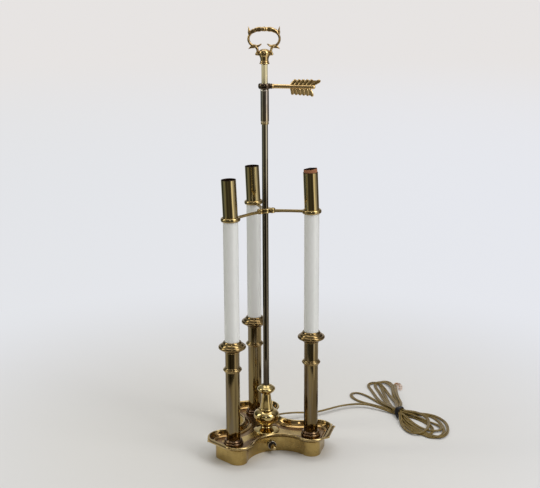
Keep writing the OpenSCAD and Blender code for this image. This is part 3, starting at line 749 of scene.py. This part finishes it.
def make_base():
    # Runs of (distance from the rim's outline, height), and the finish of the faces after each
    # the near-black finish paints shade into the groove inside the bead and the groove below the
    # cove
    runs = [
        ([(-13.9, CAVITY_Z), (-13.9, 2.7), (-12.9, 2.6), (-12.9, 0.0)], None),
        (points("-11.9,0 -11.3,0.1 -11,0.5 -11,1"), None),
        (straight(-11.0, 1.6, 22.4, 14), None),
        (shape("(0.7 -11,23.2 -10.6,24.3 -9.2,24.9 -6.6,25.6 -4,27.6 -1.8,30 -1.1,30.8)"),
         "rim_brass"),
        (shape("""(0.3 -0.9,31.1 -0.2,31 0.8,31.3 1.5,32.2 1.5,33.2 0.8,34.1 -0.3,34.5
            -1.3,34.2 -1.9,33.5)"""), "painted_shade_brass"),
        (points("-2,33 -2.15,32.5 -2.4,32.5"), "cove_brass"),
        (shape("(0.7 -2.6,32.7 -3,32.3 -3.8,30.6 -4.9,28.8 -6.2,27.6)"), "painted_shade_brass"),
        (points("-6.4,27.2 -6.5,26.2 -7.2,26.2 -7.3,27.2"), "cove_brass"),
        (shape("(0.5 -7.5,27.6 -8.2,27.7 -9.8,27 -11.6,25.9)"), "tray_brass"),
        ([(-11.9, 25.3), (-12.1, 25.0), (-12.6, 25.0), (-13.2, FLOOR_Z), (-14.5, FLOOR_Z),
          (-17, FLOOR_Z), (-21, FLOOR_Z)], None)]
    ends = np.cumsum([len(run) for run, _ in runs]) - 1
    rings = [outline(d, z) for run, _ in runs for d, z in run]
    piece("base", skin(rings), SATIN, "base_shell", ring=len(rings[0]),
          bands=[(finish, ends[k], ends[k + 1]) for k, (_, finish) in enumerate(runs) if finish])
    # Plates over the straight lobe ends: fine raised lines and a mitre into the lip
    profile = points("""100.3,32.2 100.3,33.9 100.6,34.4 101.2,34.5 101.6,34.2 101.7,32.7
        102.5,32.7 102.7,34.2 103.1,34.5 103.5,34.3 103.7,32.7 104.5,32.7 104.7,34.2 105,34.4
        105.4,34.1 105.6,32.6 106.3,32.6 106.5,33.9 107,34 107.6,33.6 107.8,32.6 107.2,31.6
        104.6,31 101.6,31""")
    bead = lathe(shape("(0.7 0.02,-1.7 1.2,-1.2 1.75,0 1.2,1.2 0.02,1.7)"), 24)
    plate = [skin([[(u, share * (PLATE_W + PLATE_SPLAY * (PLATE_END - u)), z) for u, z in profile]
                   for share in np.linspace(-1, 1, 25)])]
    plate += [moved(bead, shift(u, s * w, z))
              for s in (-1, 1) for u, w, z in ((101.2, 26.9, 33.0), (106.7, 21.3, 32.8))]
    for side in SIDE_TURN:
        piece(f"rim_end_{side}", joined(*plate), "rim_brass", place=spin(SIDE_TURN[side]))


make_base()

# ---- columns and candles ----

FOOT = shape("""11.12,0 14.3,0 (0.3 14.8,0.1 15.5,1 15.6,2.2 15,3.6 13.9,4.2) 13.3,4.35
    13.2,4.6 (0.3 13.5,4.7 14.1,5.3 14.1,6.2 13.4,7.2 12.6,7.7) 12.1,7.8 11.9,8.1 11.12,8.1""")
COLLAR = shape("""11.12,-3.9 11.6,-3.9 (0.3 11.9,-3.8 12.5,-3.3 12.7,-2.5) 12.7,-2.2 12.9,-2
    (0.25 13.2,-1.9 14.2,-1.1 14.55,0 14.2,1.1 13.1,1.9) 12.8,2.1 12.6,2.3 (0.3 12.5,2.6
    12.3,3.3 11.7,3.85) 11.12,3.9""")
CUP = shape("""5.45,0 5.45,-3.95 11.12,-3.95 11.12,-9 (0.25 11.6,-9 12.2,-8.6 12.3,-7.9
    11.9,-7.3) 11.7,-7.1 11.8,-6.9 (0.5 12.3,-6.7 14.3,-5.9 17.2,-4.7 18.9,-3.6) 19,-3.4
    19.5,-3.3 (0.3 19.9,-3.1 20.9,-2.1 21.3,-0.6 21,0.7 20.1,1.8 18.7,2.4) 18.2,2.3 18,2.6 (0.4
    17.9,2.9 17.1,4.1 15.9,5.1 14.9,5.7) 14.5,5.8 14.4,6.1 (0.25 14.4,6.5 13.9,7.6 13.2,8.5
    12.5,8.9 12.05,8.7) 11.85,8.3 11.85,0""")

for side in SIDE_TURN:
    stand = upright(side, FLOOR_Z)
    seat = upright(side, cup_z(side))
    top = cup_z(side) - CUP_SEAT - FLOOR_Z
    high = BRACKET_Z + lean_z(side) - CANDLE_GAP - cup_z(side)

    def waver(a, r, z, phase=SIDE_TURN[side]):
        return r + 0.035 * math.sin(2 * a + z / 31 + phase) + 0.02 * math.sin(3 * a - z / 13), z

    piece(f"foot_{side}", lathe(FOOT), "foot_brass", f"foot_ring_{side}", place=stand)
    column = ([(9.6, 0), (COLUMN_R, 0)] + straight(COLUMN_R, 1, top - 0.3, 30)
              + [(COLUMN_R - 0.3, top), (9.6, top)])
    piece(f"column_{side}", lathe(column), "column_brass", f"column_tube_{side}", place=stand)
    piece(f"collar_{side}", lathe(COLLAR), "collar_brass", f"column_collar_{side}",
          place=upright(side, FLOOR_Z + COLLAR_UP))
    piece(f"cup_{side}", lathe(CUP), "cup_brass", f"candle_cup_{side}", place=seat)
    candle = ([(10, 0.1), (11.3, 0.1)] + straight(CANDLE_R, 0.5, high - 0.5, 60)
              + [(11.3, high), (10, high)])
    piece(f"candle_{side}", lathe(candle, wobble=waver), "candle_white", f"candle_tube_{side}",
          place=seat)

# ---- sockets, covers and liners ----

REAR_WORN = 1.7  # by which the rear cover is shorter
LINER_PROUD = 4.7  # of the right liner, which has crept up
LINER_DEEP = -6.0  # of the others, inside their covers
COVER = (points("10.75,1 11.1,0.95") + straight(COVER_R, 1.4, 59.4, 40)
         + points("11.22,59.8 11.1,60 10.9,60 10.72,59.8") + straight(10.66, 59.2, 1.4, 30))
LINER = points("""9.7,2 10.35,2 10.4,30 10.4,52 10.38,57 10.34,60 10.15,60.25 9.85,60.3 9.7,60
    9.7,57 9.7,45 9.7,30""")

for side in SIDE_TURN:
    seat = upright(side, BRACKET_Z + lean_z(side)) @ LEAN

    def dented(a, r, z, phase=SIDE_TURN[side], worn=REAR_WORN if side == "rear" else 0.0):
        z -= worn * max(0.0, min(1.0, (z - 50) / 8))
        return r + 0.05 * math.sin(2 * a + z / 24 + phase) + 0.02 * math.sin(5 * a + z / 9), z

    def torn(a, r, z, crept=side == "right"):
        if z < 40:
            return r, z
        ragged = 0.16 * math.sin(5 * a + 1) + 0.1 * math.sin(11 * a) + 0.07 * math.sin(23 * a + 2)
        z += (LINER_PROUD + 0.7 * math.cos(a + 0.26) + ragged if crept
              else LINER_DEEP + 0.4 * ragged)
        return r + 0.1 * math.sin(2 * a) + 0.04 * math.sin(7 * a), z

    # the near-black bands on each cover's lip and inner wall, and on each liner's inner edge and
    # inner wall, are painted shade
    piece(f"cover_{side}", lathe(COVER, wobble=dented), "cover_brass",
          f"socket_cover_{side}", place=seat, bands=[("painted_shade_brass", 41, 76)])
    piece(f"liner_{side}", lathe(LINER, wobble=torn), "liner_card",
          f"socket_liner_{side}", place=seat, bands=[("painted_shade_brass", 7, 12)])

# ---- rod, vase and bracket ----

# the rod's top band takes the paler copy of its brass, a painted highlight
piece("rod", lathe(
    [(ROD_R - 0.6, 11), (ROD_R, 11.6)] + straight(ROD_R, 14, ROD_TOP - 1, 120)
    + [(ROD_R - 0.3, ROD_TOP), (3, ROD_TOP), (3, ROD_TOP + 8.6), (2.6, ROD_TOP + 9)], solid=True),
    "rod_brass", "centre_rod", bands=[("rod_top_lit_brass", 115, 126)])

VASE = shape("""4.81,0 20.3,0 20.75,0.35 20.75,1 20.3,1.5 (0.7 19.9,1.7 17.2,3.1 12.7,4.6
    9.5,6.2 8.35,8 8.8,9.9 12.1,12.1 16.6,15.8 19.4,20.3 20.4,25.2 19.8,29.4 17.3,32.8 13.9,35
    12.2,35.7) 11.3,35.9 11.2,36.2 (0.25 11.6,36.4 12.2,37.2 11.7,38.1 11,38.4) 10.6,38.6
    10.6,38.9 (0.7 10.5,39.2 9.9,42 8.8,48 7.6,56 6.9,62.2) 6.8,62.7 7.2,63 (0.5 7.8,63.2
    10.1,65 12.9,67.9 14.25,70.6 13.9,72.5 12.6,73.9) 12.1,74.2 11.7,74.5 (0.4 11.3,74.8
    9.3,76.3 7.6,77.2 6.6,78.1) 5.6,78.4 4.81,78.4""")
piece("vase", lathe(VASE), "vase_brass", "rod_foot", place=shift(z=FLOOR_Z))

HUB = shape("""5.05,-3.2 7.4,-3.25 (0.3 8.2,-3.1 8.9,-2.5 9.05,-1.7) 8.5,-1.2 8.3,-0.6 8.3,0.9
    8.5,1.7 (0.3 9.1,2.1 9,3.2 8.2,4) 7.4,4.1 5.05,3.9""")
RING = shape("""11.95,-2.5 (0.3 12.2,-3 12.9,-3.2 13.8,-2.8 14.6,-1.7 14.9,0 14.6,1.7 13.8,2.8
    12.9,3.2 12.2,3) 11.95,2.5""")
EAR = shape("""0.02,-3.3 2.8,-3.25 (0.3 3.4,-3.2 4.2,-2.7 4.3,-2) 3.9,-1.4 3.8,0 3.9,1.3 (0.3
    4.7,1.8 4.95,2.8 4.6,3.7 4,4.2) 3.4,4.1 3.1,3.4 2.4,3.2 1.3,3.3 0.9,3.9 0.02,4.1""")


def make_bracket():
    shells = [lathe(HUB)]
    arm = np.array([(u, 0, 0.25 * math.sin((u - 12) / 15)) for u in np.linspace(12.5, 61.6, 60)])
    thick = taper(arm, "0,3.3 0.04,2.7 0.08,2.4 0.5,2.25 0.9,2.3 0.96,2.7 1,3.3")
    bar = sweep(arm, (0, 0, 1), thick, thick * 1.02, sides=60,
                flute=lambda a: 1.0 - 0.2 * abs(math.cos(3.0 * a)) ** 5)
    for side in SIDE_TURN:
        turn = spin(SIDE_TURN[side])
        shells += [moved(bar, turn), moved(lathe(EAR, 48), turn @ shift(10.9)),
                   moved(lathe(RING), turn @ shift(CANDLE_CIRCLE))]
    piece("bracket", joined(*shells), "bracket_brass", "candle_bracket",
          place=shift(z=BRACKET_Z) @ LEAN)


make_bracket()

# ---- shade clamp and arrow ----

piece("sleeve", lathe(
    shape("4.82,0 5.5,0 (0.2 5.7,0.1 6,0.5 6.05,1.1) 6.05,3.6 5.85,4 5.85,4.5 6.3,4.9")
    + [(SLEEVE_R, 5.3)] + straight(SLEEVE_R, 6, 51, 46)
    + [(6.3, 51.9), (6, 52.4), (4.82, SLEEVE_H)]),
    "sleeve_brass", "clamp_sleeve", body="sleeve", place=shift(z=SLEEVE_TOP - SLEEVE_H))

AIM = shift(z=CLAMP_Z) @ spin(ARROW_TURN)
CLAMP = shape("""4.82,-4 6.6,-4.35 (0.3 7.6,-4.3 8.8,-3.6 9.6,-2.2 9.8,0 9.6,2.2 8.8,3.6
    7.6,4.3) 6.6,4.35 4.82,4""")
KNUCKLE = shape("""2.1,6.2 3.9,6.2 3.95,8.9 3.6,9.4 3.6,9.7 (0.2 3.9,9.9 4.15,10.6 3.8,11.3
    3.2,11.5) 2.1,11.5""")
piece("clamp", joined(lathe(CLAMP), moved(lathe(KNUCKLE, 48), ALONG)),
      "clamp_brass", "clamp_ring", body="ring", place=AIM)


def barb(start, end, wide, flat=1.15):
    """One leaf of a vane in the arrow's upright plane, pointed at the shaft and round outside."""
    bend = (end[1] - start[1]) * 0.06
    middle = ((start[0] + end[0]) / 2 - bend, 0, (start[1] + end[1]) / 2)
    line = spline([(start[0], 0, start[1]), middle, (end[0], 0, end[1])], 0.35)
    half = wide * taper(line, "0,0.75 0.35,0.95 0.8,1 0.92,0.84 0.98,0.5 1,0.12")
    return sweep(line, (0, 1, 0), half, np.minimum(flat, 0.75 * half), sides=16,
                 flute=lambda a: 1.0 + 0.15 * abs(math.sin(a)) ** 8)


def make_arrow():
    shaft = (shape("""0.02,7 1.95,7 1.95,11.6 2.8,11.8 (0.25 3.3,12 3.9,12.8 3.6,13.7 3.1,14.1)
                   3,14.5 3.3,14.9""")
             + [(3.3 - 0.5 * t, 15 + 57 * t) for t in np.linspace(0, 1, 24)]
             + shape("(0.3 2.9,72.5 3.1,74 2.7,75.8 1.5,77 0.02,77.3)"))
    shells = [moved(lathe(shaft, 40), ALONG)]
    for vane in ("39.4,0.6 48.2,9.5 75.5,9.9 83,9.8 73.5,0.6",
                 "38.2,-0.6 39.6,-4.5 40.8,-10.4 66,-11.8 72.2,-13 68,-4.5 67.6,-0.6"):
        shells.append(skin([[(u, y, h) for u, h in points(vane)] for y in (-0.8, 0.8)]))
    for k in range(5):
        shells += [
            barb((39.8 + 6.0 * k, 1.0), (48.8 + 6.2 * k, 10.2 + 0.08 * k), 2.8, 1.25),
            barb((40.2 + 5.6 * k, -1.0), (42.8 + 5.8 * k, -12.2 - 0.3 * k), 2.4, 1.3)]
    shells += [barb((70.0, 1.2), (85.0, 10.0), 2.7), barb((67.0, -1.2), (73.2, -14.2), 2.5)]
    piece("arrow", joined(*shells), "arrow_brass", "arrow_screw", body="arrow", place=AIM)


make_arrow()

# ---- finial ----

FINIAL = shift(z=ROD_TOP) @ spin(HANDLE_TURN)
KNOB = shape("""3.05,0 6.9,0 (0.25 7.2,0.1 7.55,0.9 7.3,1.9 6.8,2.3) 6.5,2.5 6.4,2.8 (0.25
    6.5,3 6.75,3.6 6.5,4.3 6.1,4.6) 6.1,4.9 6.1,5.6 (0.45 6.15,6.6 6.5,8.8 7.4,11.2 8.6,13.6
    8.9,16.2 8.2,18.8 6.3,20.9 3,22.1 0.02,22.3)""")
piece("finial_ball", lathe(KNOB), "finial_brass", "finial_knob", place=FINIAL)

SCROLL_AT = (12.6, 36.8)
SCROLL_R = 10.8
SCROLL = ([(SCROLL_AT[0] + SCROLL_R * math.cos(a), SCROLL_AT[1] + SCROLL_R * math.sin(a))
           for a in np.radians(np.arange(222, 440, 4))]
          + shape("(0.8 14.6,47.5 12.6,48 10.6,48.6)"))
SCROLL[0] = (SCROLL[0][0] - 0.6, SCROLL[0][1] - 0.3)
# Bars of half of the handle: points (across, up), then half width and half depth at shares of
# their length, and points round them
SCROLLWORK = [
    (SCROLL, "0,0.5 0.06,1.3 0.2,2.1 0.45,1.9 0.7,1.8 0.9,1.9 1,1.2",
     "0,0.6 0.08,1.3 0.25,1.9 0.6,1.8 1,1.9", 16),
    (shape("(0.7 6.4,14.6 8.8,14.4 10.6,15.6 10,18.9 10.8,22.6 13.2,25.9)"),
     "0,2.3 0.35,2.2 0.6,1.8 0.85,2.2 1,1.8", "0,1.9 1,1.9", 16),
    (shape("(0.7 12.2,26.8 15.5,26.1 19,25 23.8,22.1)"), "0,1.8 0.3,3.1 0.6,2 1,0.2",
     "0,1.6 0.5,1.4 1,0.3", 16),
    (shape("(0.7 21.4,41.5 22.4,46.5 22.5,50 23.8,54.9)"), "0,1.6 0.35,2.1 0.65,1.4 1,0.2",
     "0,1.8 0.5,1.5 1,0.3", 16),
    (shape("(0.7 20,46.4 18.8,48.6 17.9,51)"), "0,1.8 0.5,1.5 1,0.3", "0,1.4 1,1.4", 16),
    (shape("(0.35 20.6,45.2 17.4,47.9 13.8,49.5 10.4,50.3 7,50.7 4,50.8 0,50.9)"),
     """0,1.7 0.12,2.1 0.3,2.8 0.36,2.7 0.44,3.1 0.6,3.6 0.72,3.6 0.78,3 0.82,2.7 0.87,3.3
     0.91,3.4 0.94,3 0.96,3.1 1,3.9""",
     "0,1.5 0.3,2.2 0.36,1.9 0.5,2.5 0.77,1.8 0.82,1.8 0.88,2.3 0.94,2 1,2.7", 24),
]
SCROLL_BALLS = points("11.6,14.6,2.2 9.8,18.2,1.9 13.2,25.7,2.2")  # across, up, radius


def make_handle():
    half = []
    for line, wide, deep, sides in SCROLLWORK:
        path = np.array([(x, 0, h) for x, h in line], float)
        half.append(sweep(path, (0, 1, 0), taper(path, wide), taper(path, deep), sides=sides))
    for x, h, r in SCROLL_BALLS:
        side = [(AXIS_R, -r), (0.75 * r, -0.68 * r), (r, 0), (0.75 * r, 0.68 * r), (AXIS_R, r)]
        half.append(moved(lathe(spline(side, 0.3), 24), shift(x, 0, h)))
    shells = [moved(mesh, Matrix.Diagonal((s, 1, 1, 1))) for s in (-1, 0.96) for mesh in half]
    piece("handle", joined(*shells), "finial_brass", "finial_handle", place=FINIAL)


make_handle()

# ---- switch ----

NUT_SEAT = 28.45
KNURLS = 24
SWITCH = shift(1, 0, 11.3) @ spin(90, "X") @ shift(z=NUT_SEAT)
NUT = shape("""4.78,0 6.6,0 6.95,0.4 (0.25 6.95,1.6 6.8,2.5 6.4,3 6,2.9 5.85,2.5) 5.8,1.2
    5.6,0.8 4.78,0.7""")
GRIP = (points("1.65,3.2 2.5,3.2 2.7,3.6 2.7,5.4 3.5,5.8 3.75,6.2")
        + straight(3.95, 6.6, 12.4, 12)
        + points("3.8,12.8 3.4,13.4 3.3,14.8 2.9,15.8 2.2,16.4 1.3,16.6 0.02,16.6"))


def knurled(a, r, z):
    return r + (0.14 * math.cos(KNURLS * a) if r > 3.7 and 6.0 < z < 12.6 else 0), z


# the near-black band in the nut's recess is painted shade
piece("switch_ring", lathe(NUT), "nickel", "switch_nut", place=SWITCH,
      bands=[("painted_shade_brass", len(NUT) - 4, len(NUT))])
piece("switch_grip", lathe(GRIP, sides=208, wobble=knurled), "knob_brass", "switch_knob",
      body="knob", place=SWITCH)

# ---- tie, bushing and bare wire ends ----

TIE_HULL = points("""0,1.5 9,1.5 11.8,2.9 12.4,6.2 10.8,9.6 5.5,12.4 -1,13.4 -6,14.6 -9.2,12.8
    -10,8 -9.8,3.3 -7.5,1.5""")
STRANDS = 7


def by_tie(across, front, up):
    """A point counted from the table under the tie's middle."""
    return Vector(TIE_AT) + ACROSS_TIE * across + BEFORE_TIE * front + Vector((0, 0, up))


def make_tie():
    shells = []
    loop = spline(TIE_HULL + TIE_HULL[:1], 0.8)[:-1]
    for start, tilt in ((-1.6, -0.34), (1.6, -0.52)):
        path = [by_tie(x, start + tilt * x, z) for x, z in loop]
        shells.append(sweep(path, BEFORE_TIE, 0.95, 2.5, sides=10, closed=True, caps=False))
    for x0, z0, x1, z1, out in ((-9.4, 5.4, -17.5, 2.9, 3.4), (-9.0, 3.6, -15.0, 5.0, 2.4)):
        tail = spline([by_tie(x0, 0.4 + out, z0),
                       by_tie(0.5 * (x0 + x1), 2.2 * out + 2, 0.5 * (z0 + z1) + 1.4),
                       by_tie(x1, 3.2 * out + 3.6, z1)], 0.7)
        shells.append(sweep(tail, BEFORE_TIE, taper(tail, "0,1 0.8,0.9 1,0.3"),
                            taper(tail, "0,2.3 0.7,2.5 1,0.6"), sides=10))
    return piece("tie", joined(*shells), "tie", "cord_tie")


def make_strands():
    end = Vector(cord_path[-1])
    ahead = (end - Vector(cord_path[-6])).normalized()
    across = ahead.cross(Vector((0, 0, 1))).normalized()
    shells = []
    for core, out in ((-1, 3.0), (1, 5.5)):
        for k in range(STRANDS):
            a = 2 * math.pi * k / STRANDS
            spread = 0.55 * Vector((0, 0, 1)) * math.sin(a) + 0.55 * across * math.cos(a)
            # how far ahead of the cord's end, across it and out of the bunch each point lies
            spots = [(-3, core * 1.35, 0.6), (5 + 0.6 * out, 0.5 * out, 1.6),
                     (6 - 0.2 * out, 1.5 * out, 3), (-5 - out, 1.9 * out, 4.5),
                     (-19 - 1.3 * out - 2 * math.sin(3 * a), 1.2 * out + 1, 5)]
            line = [end + ahead * u + across * w + spread * s for u, w, s in spots]
            path = spline([Vector((p.x, p.y, max(p.z, 0.8))) for p in line], 0.9)
            path[:, 2] = np.maximum(path[:, 2], 0.5)
            shells.append(sweep(path, (0.01, 0.02, 1), 0.24, 0.24, sides=6))
    return piece("bare_wires", joined(*shells), "copper", "cord_strands", crisp=False)


BUSHING = shape("""2.86,-6.2 4.9,-6.2 5.4,-5.7 5.4,-5 4.9,-4.55 4.38,-4.4 4.38,0.1
    (0.3 5.4,0.12 5.85,0.7 5.6,1.8 4.6,2.45 3.6,2.5) 3,2.2 2.86,1.6""")
piece("bushing", lathe(BUSHING, 64), "black_phenolic", "cord_bushing",
      place=shift(*EXIT_AT[:2], EXIT_Z) @ spin(EXIT_TURN) @ ALONG)
tie = make_tie()
strands = make_strands()

# ---- finishes of the frame's own nodes ----

for part in frame["record"]["subparts"]:
    slot = part["material_slot"]
    node = frame["nodes"][part["node"]]
    node.data.materials.clear()
    node.data.materials.append(FINISHES[POLISHED if slot == "socket_brass" else slot])

# ---- stage ----

FLOOR_REACH = 14.0  # metres
TABLE_R = 0.75  # metres of pale table that metal reflects
TABLE_FRONT = 0.4  # and towards the camera
FADE_NEAR = 0.15  # metres over which the table fades into the backdrop
FADE_FAR = 0.95
TABLE = (0.7, 0.682, 0.645)
WALL = (0.799, 0.775, 0.765)
SWEEP_LEFT = (0.765, 0.775, 0.795)
SWEEP_RIGHT = (0.795, 0.81, 0.86)
CEILING = (0.36, 0.36, 0.37)
EYE_LEVEL = (0.62, 0.6, 0.52)


def make_floor():
    data = bpy.data.meshes.new("floor")
    data.from_pydata([(x * FLOOR_REACH, y * FLOOR_REACH, 0)
                      for x, y in ((-1, -1), (1, -1), (1, 1), (-1, 1))], [], [(0, 1, 2, 3)])
    in_scene("floor", data)
    f = Finish("floor")
    data.materials.append(f.material)
    f.set(Base_Color=TABLE, Roughness=0.6, Specular_IOR_Level=0.2)
    ray = f.add("LightPath").outputs
    far = f.add("VectorMath", {0: f.place}, operation="LENGTH").outputs["Value"]
    yaw = math.radians(CAMERA_YAW)
    right = f.along((math.cos(yaw), -math.sin(yaw), 0))
    near = f.along((-math.sin(yaw), -math.cos(yaw), 0))
    cool = f.mix(f.between(right, -2.0, 1.6), SWEEP_LEFT, SWEEP_RIGHT)
    wall = f.add("Emission", {"Color": f.mix(f.between(far, 1.5, 9.0), cool, WALL)}).outputs[0]
    clear = f.add("BsdfTransparent").outputs[0]
    fade = f.between(far, FADE_NEAR, FADE_FAR)
    seen = f.blend(f.calc(fade, ray["Is Camera Ray"], "MULTIPLY"), f.shader.outputs[0], wall)
    front = f.calc(f.between(far, TABLE_FRONT - 0.015, TABLE_FRONT + 0.015),
                   f.between(near, 0.1, 0.16), "MULTIPLY")
    beyond = f.calc(front, f.between(far, TABLE_R - 0.04, TABLE_R + 0.04), "MAXIMUM")
    edge = f.blend(f.calc(beyond, ray["Is Glossy Ray"], "MULTIPLY"), seen, clear)
    f.put(edge, f.nodes["Material Output"].inputs["Surface"])


# Directions in the room, in degrees from the camera's side round to the right, with the
# brightness and the tint there
ROOM = points("""-180,0.8,1,1,1 -156,0.6,1,1,1 -142,0.16,0.8,1,0.9 -116,0.05,0.8,1,0.9
    -100,0.06,0.8,1,0.9 -88,0.26,0.85,0.95,1 -72,0.24,0.95,1,0.85 -56,0.26,1,1,0.75
    -50,0.07,1,0.95,0.75 -26,0.05,1,0.85,0.7 -12,0.09,1,1,0.75 4,0.06,1,0.85,0.7
    26,0.07,1,0.9,0.8 35,0.2,1,0.95,0.9 43,1.4,1,0.98,0.93 57,1.4,1,0.98,0.94
    63,0.62,1,0.95,0.95 84,0.6,0.94,0.95,1 94,0.16,1,0.9,0.85 120,0.07,1,0.9,0.8
    142,0.14,1,0.9,0.8 158,0.6,1,1,1 180,0.8,1,1,1""")
ROOM_PEAK = 1.4
# Share of the eye-level tone at sines of the angle above the horizon
EYE_BAND = points("-0.097,0 -0.089,0.42 0,0.42 0.04,0")
BAND_REACH = 0.2


def make_world():
    world = bpy.data.worlds.new("world")
    bpy.context.scene.world = world
    f = Nodes(world)
    f.nodes.clear()
    turn = f.add("Mapping", {"Vector": f.add("TexCoord").outputs["Generated"],
                             "Rotation": (0, 0, math.radians(CAMERA_YAW))})
    way = f.add("SeparateXYZ", {0: turn.outputs[0]}).outputs
    angle = f.calc(way["X"], f.calc(way["Y"], -1, "MULTIPLY"), "ARCTAN2")
    room = f.ramp(f.between(angle, -math.pi, math.pi, "LINEAR"),
                  *[((degrees + 180) / 360, tuple(level / ROOM_PEAK * t for t in tint))
                    for degrees, level, *tint in ROOM])
    room = f.mix(f.between(way["Z"], 0.35, 0.95, "LINEAR"), room, CEILING)
    band = f.ramp(f.between(way["Z"], -BAND_REACH, BAND_REACH, "LINEAR"),
                  *[((z + BAND_REACH) / (2 * BAND_REACH), share) for z, share in EYE_BAND])
    room = f.mix(band, room, EYE_LEVEL)
    lit = f.add("Background", {"Color": room, "Strength": ROOM_PEAK}).outputs[0]
    wall = f.add("Background", {"Color": WALL}).outputs[0]
    ray = f.add("LightPath").outputs["Is Camera Ray"]
    f.add("OutputWorld", {"Surface": f.blend(ray, lit, wall)})


def softbox(name, turn, up, away, size, power, tint=(1, 1, 1)):
    """Area lamp that looks at the lamp from a direction counted from the camera's side."""
    a, e = math.radians(turn - CAMERA_YAW), math.radians(up)
    aim = Vector((0, 0, 0.25))
    back = Vector((math.sin(a) * math.cos(e), -math.cos(a) * math.cos(e), math.sin(e)))
    data = bpy.data.lights.new(name, "AREA")
    data.shape = "RECTANGLE"
    data.size, data.size_y = size
    data.energy = power
    data.color = tint
    in_scene(name, data).matrix_world = (shift(*aim + back * away)
                                         @ back.to_track_quat("Z", "Y").to_matrix().to_4x4())


make_floor()
make_world()
# name, turn and height in degrees, distance and size in metres, watts, tint
softbox("key", 52, 42, 2.2, (1.0, 1.4), 18, (0.96, 0.975, 1.0))
softbox("top", 170, 78, 2.0, (1.8, 1.2), 14)
softbox("side", -88, 30, 2.2, (0.5, 1.4), 9, (1, 1, 0.93))
softbox("front", -4, 24, 2.4, (0.28, 0.4), 2.2)

bpy.context.scene.view_settings.view_transform = "Standard"
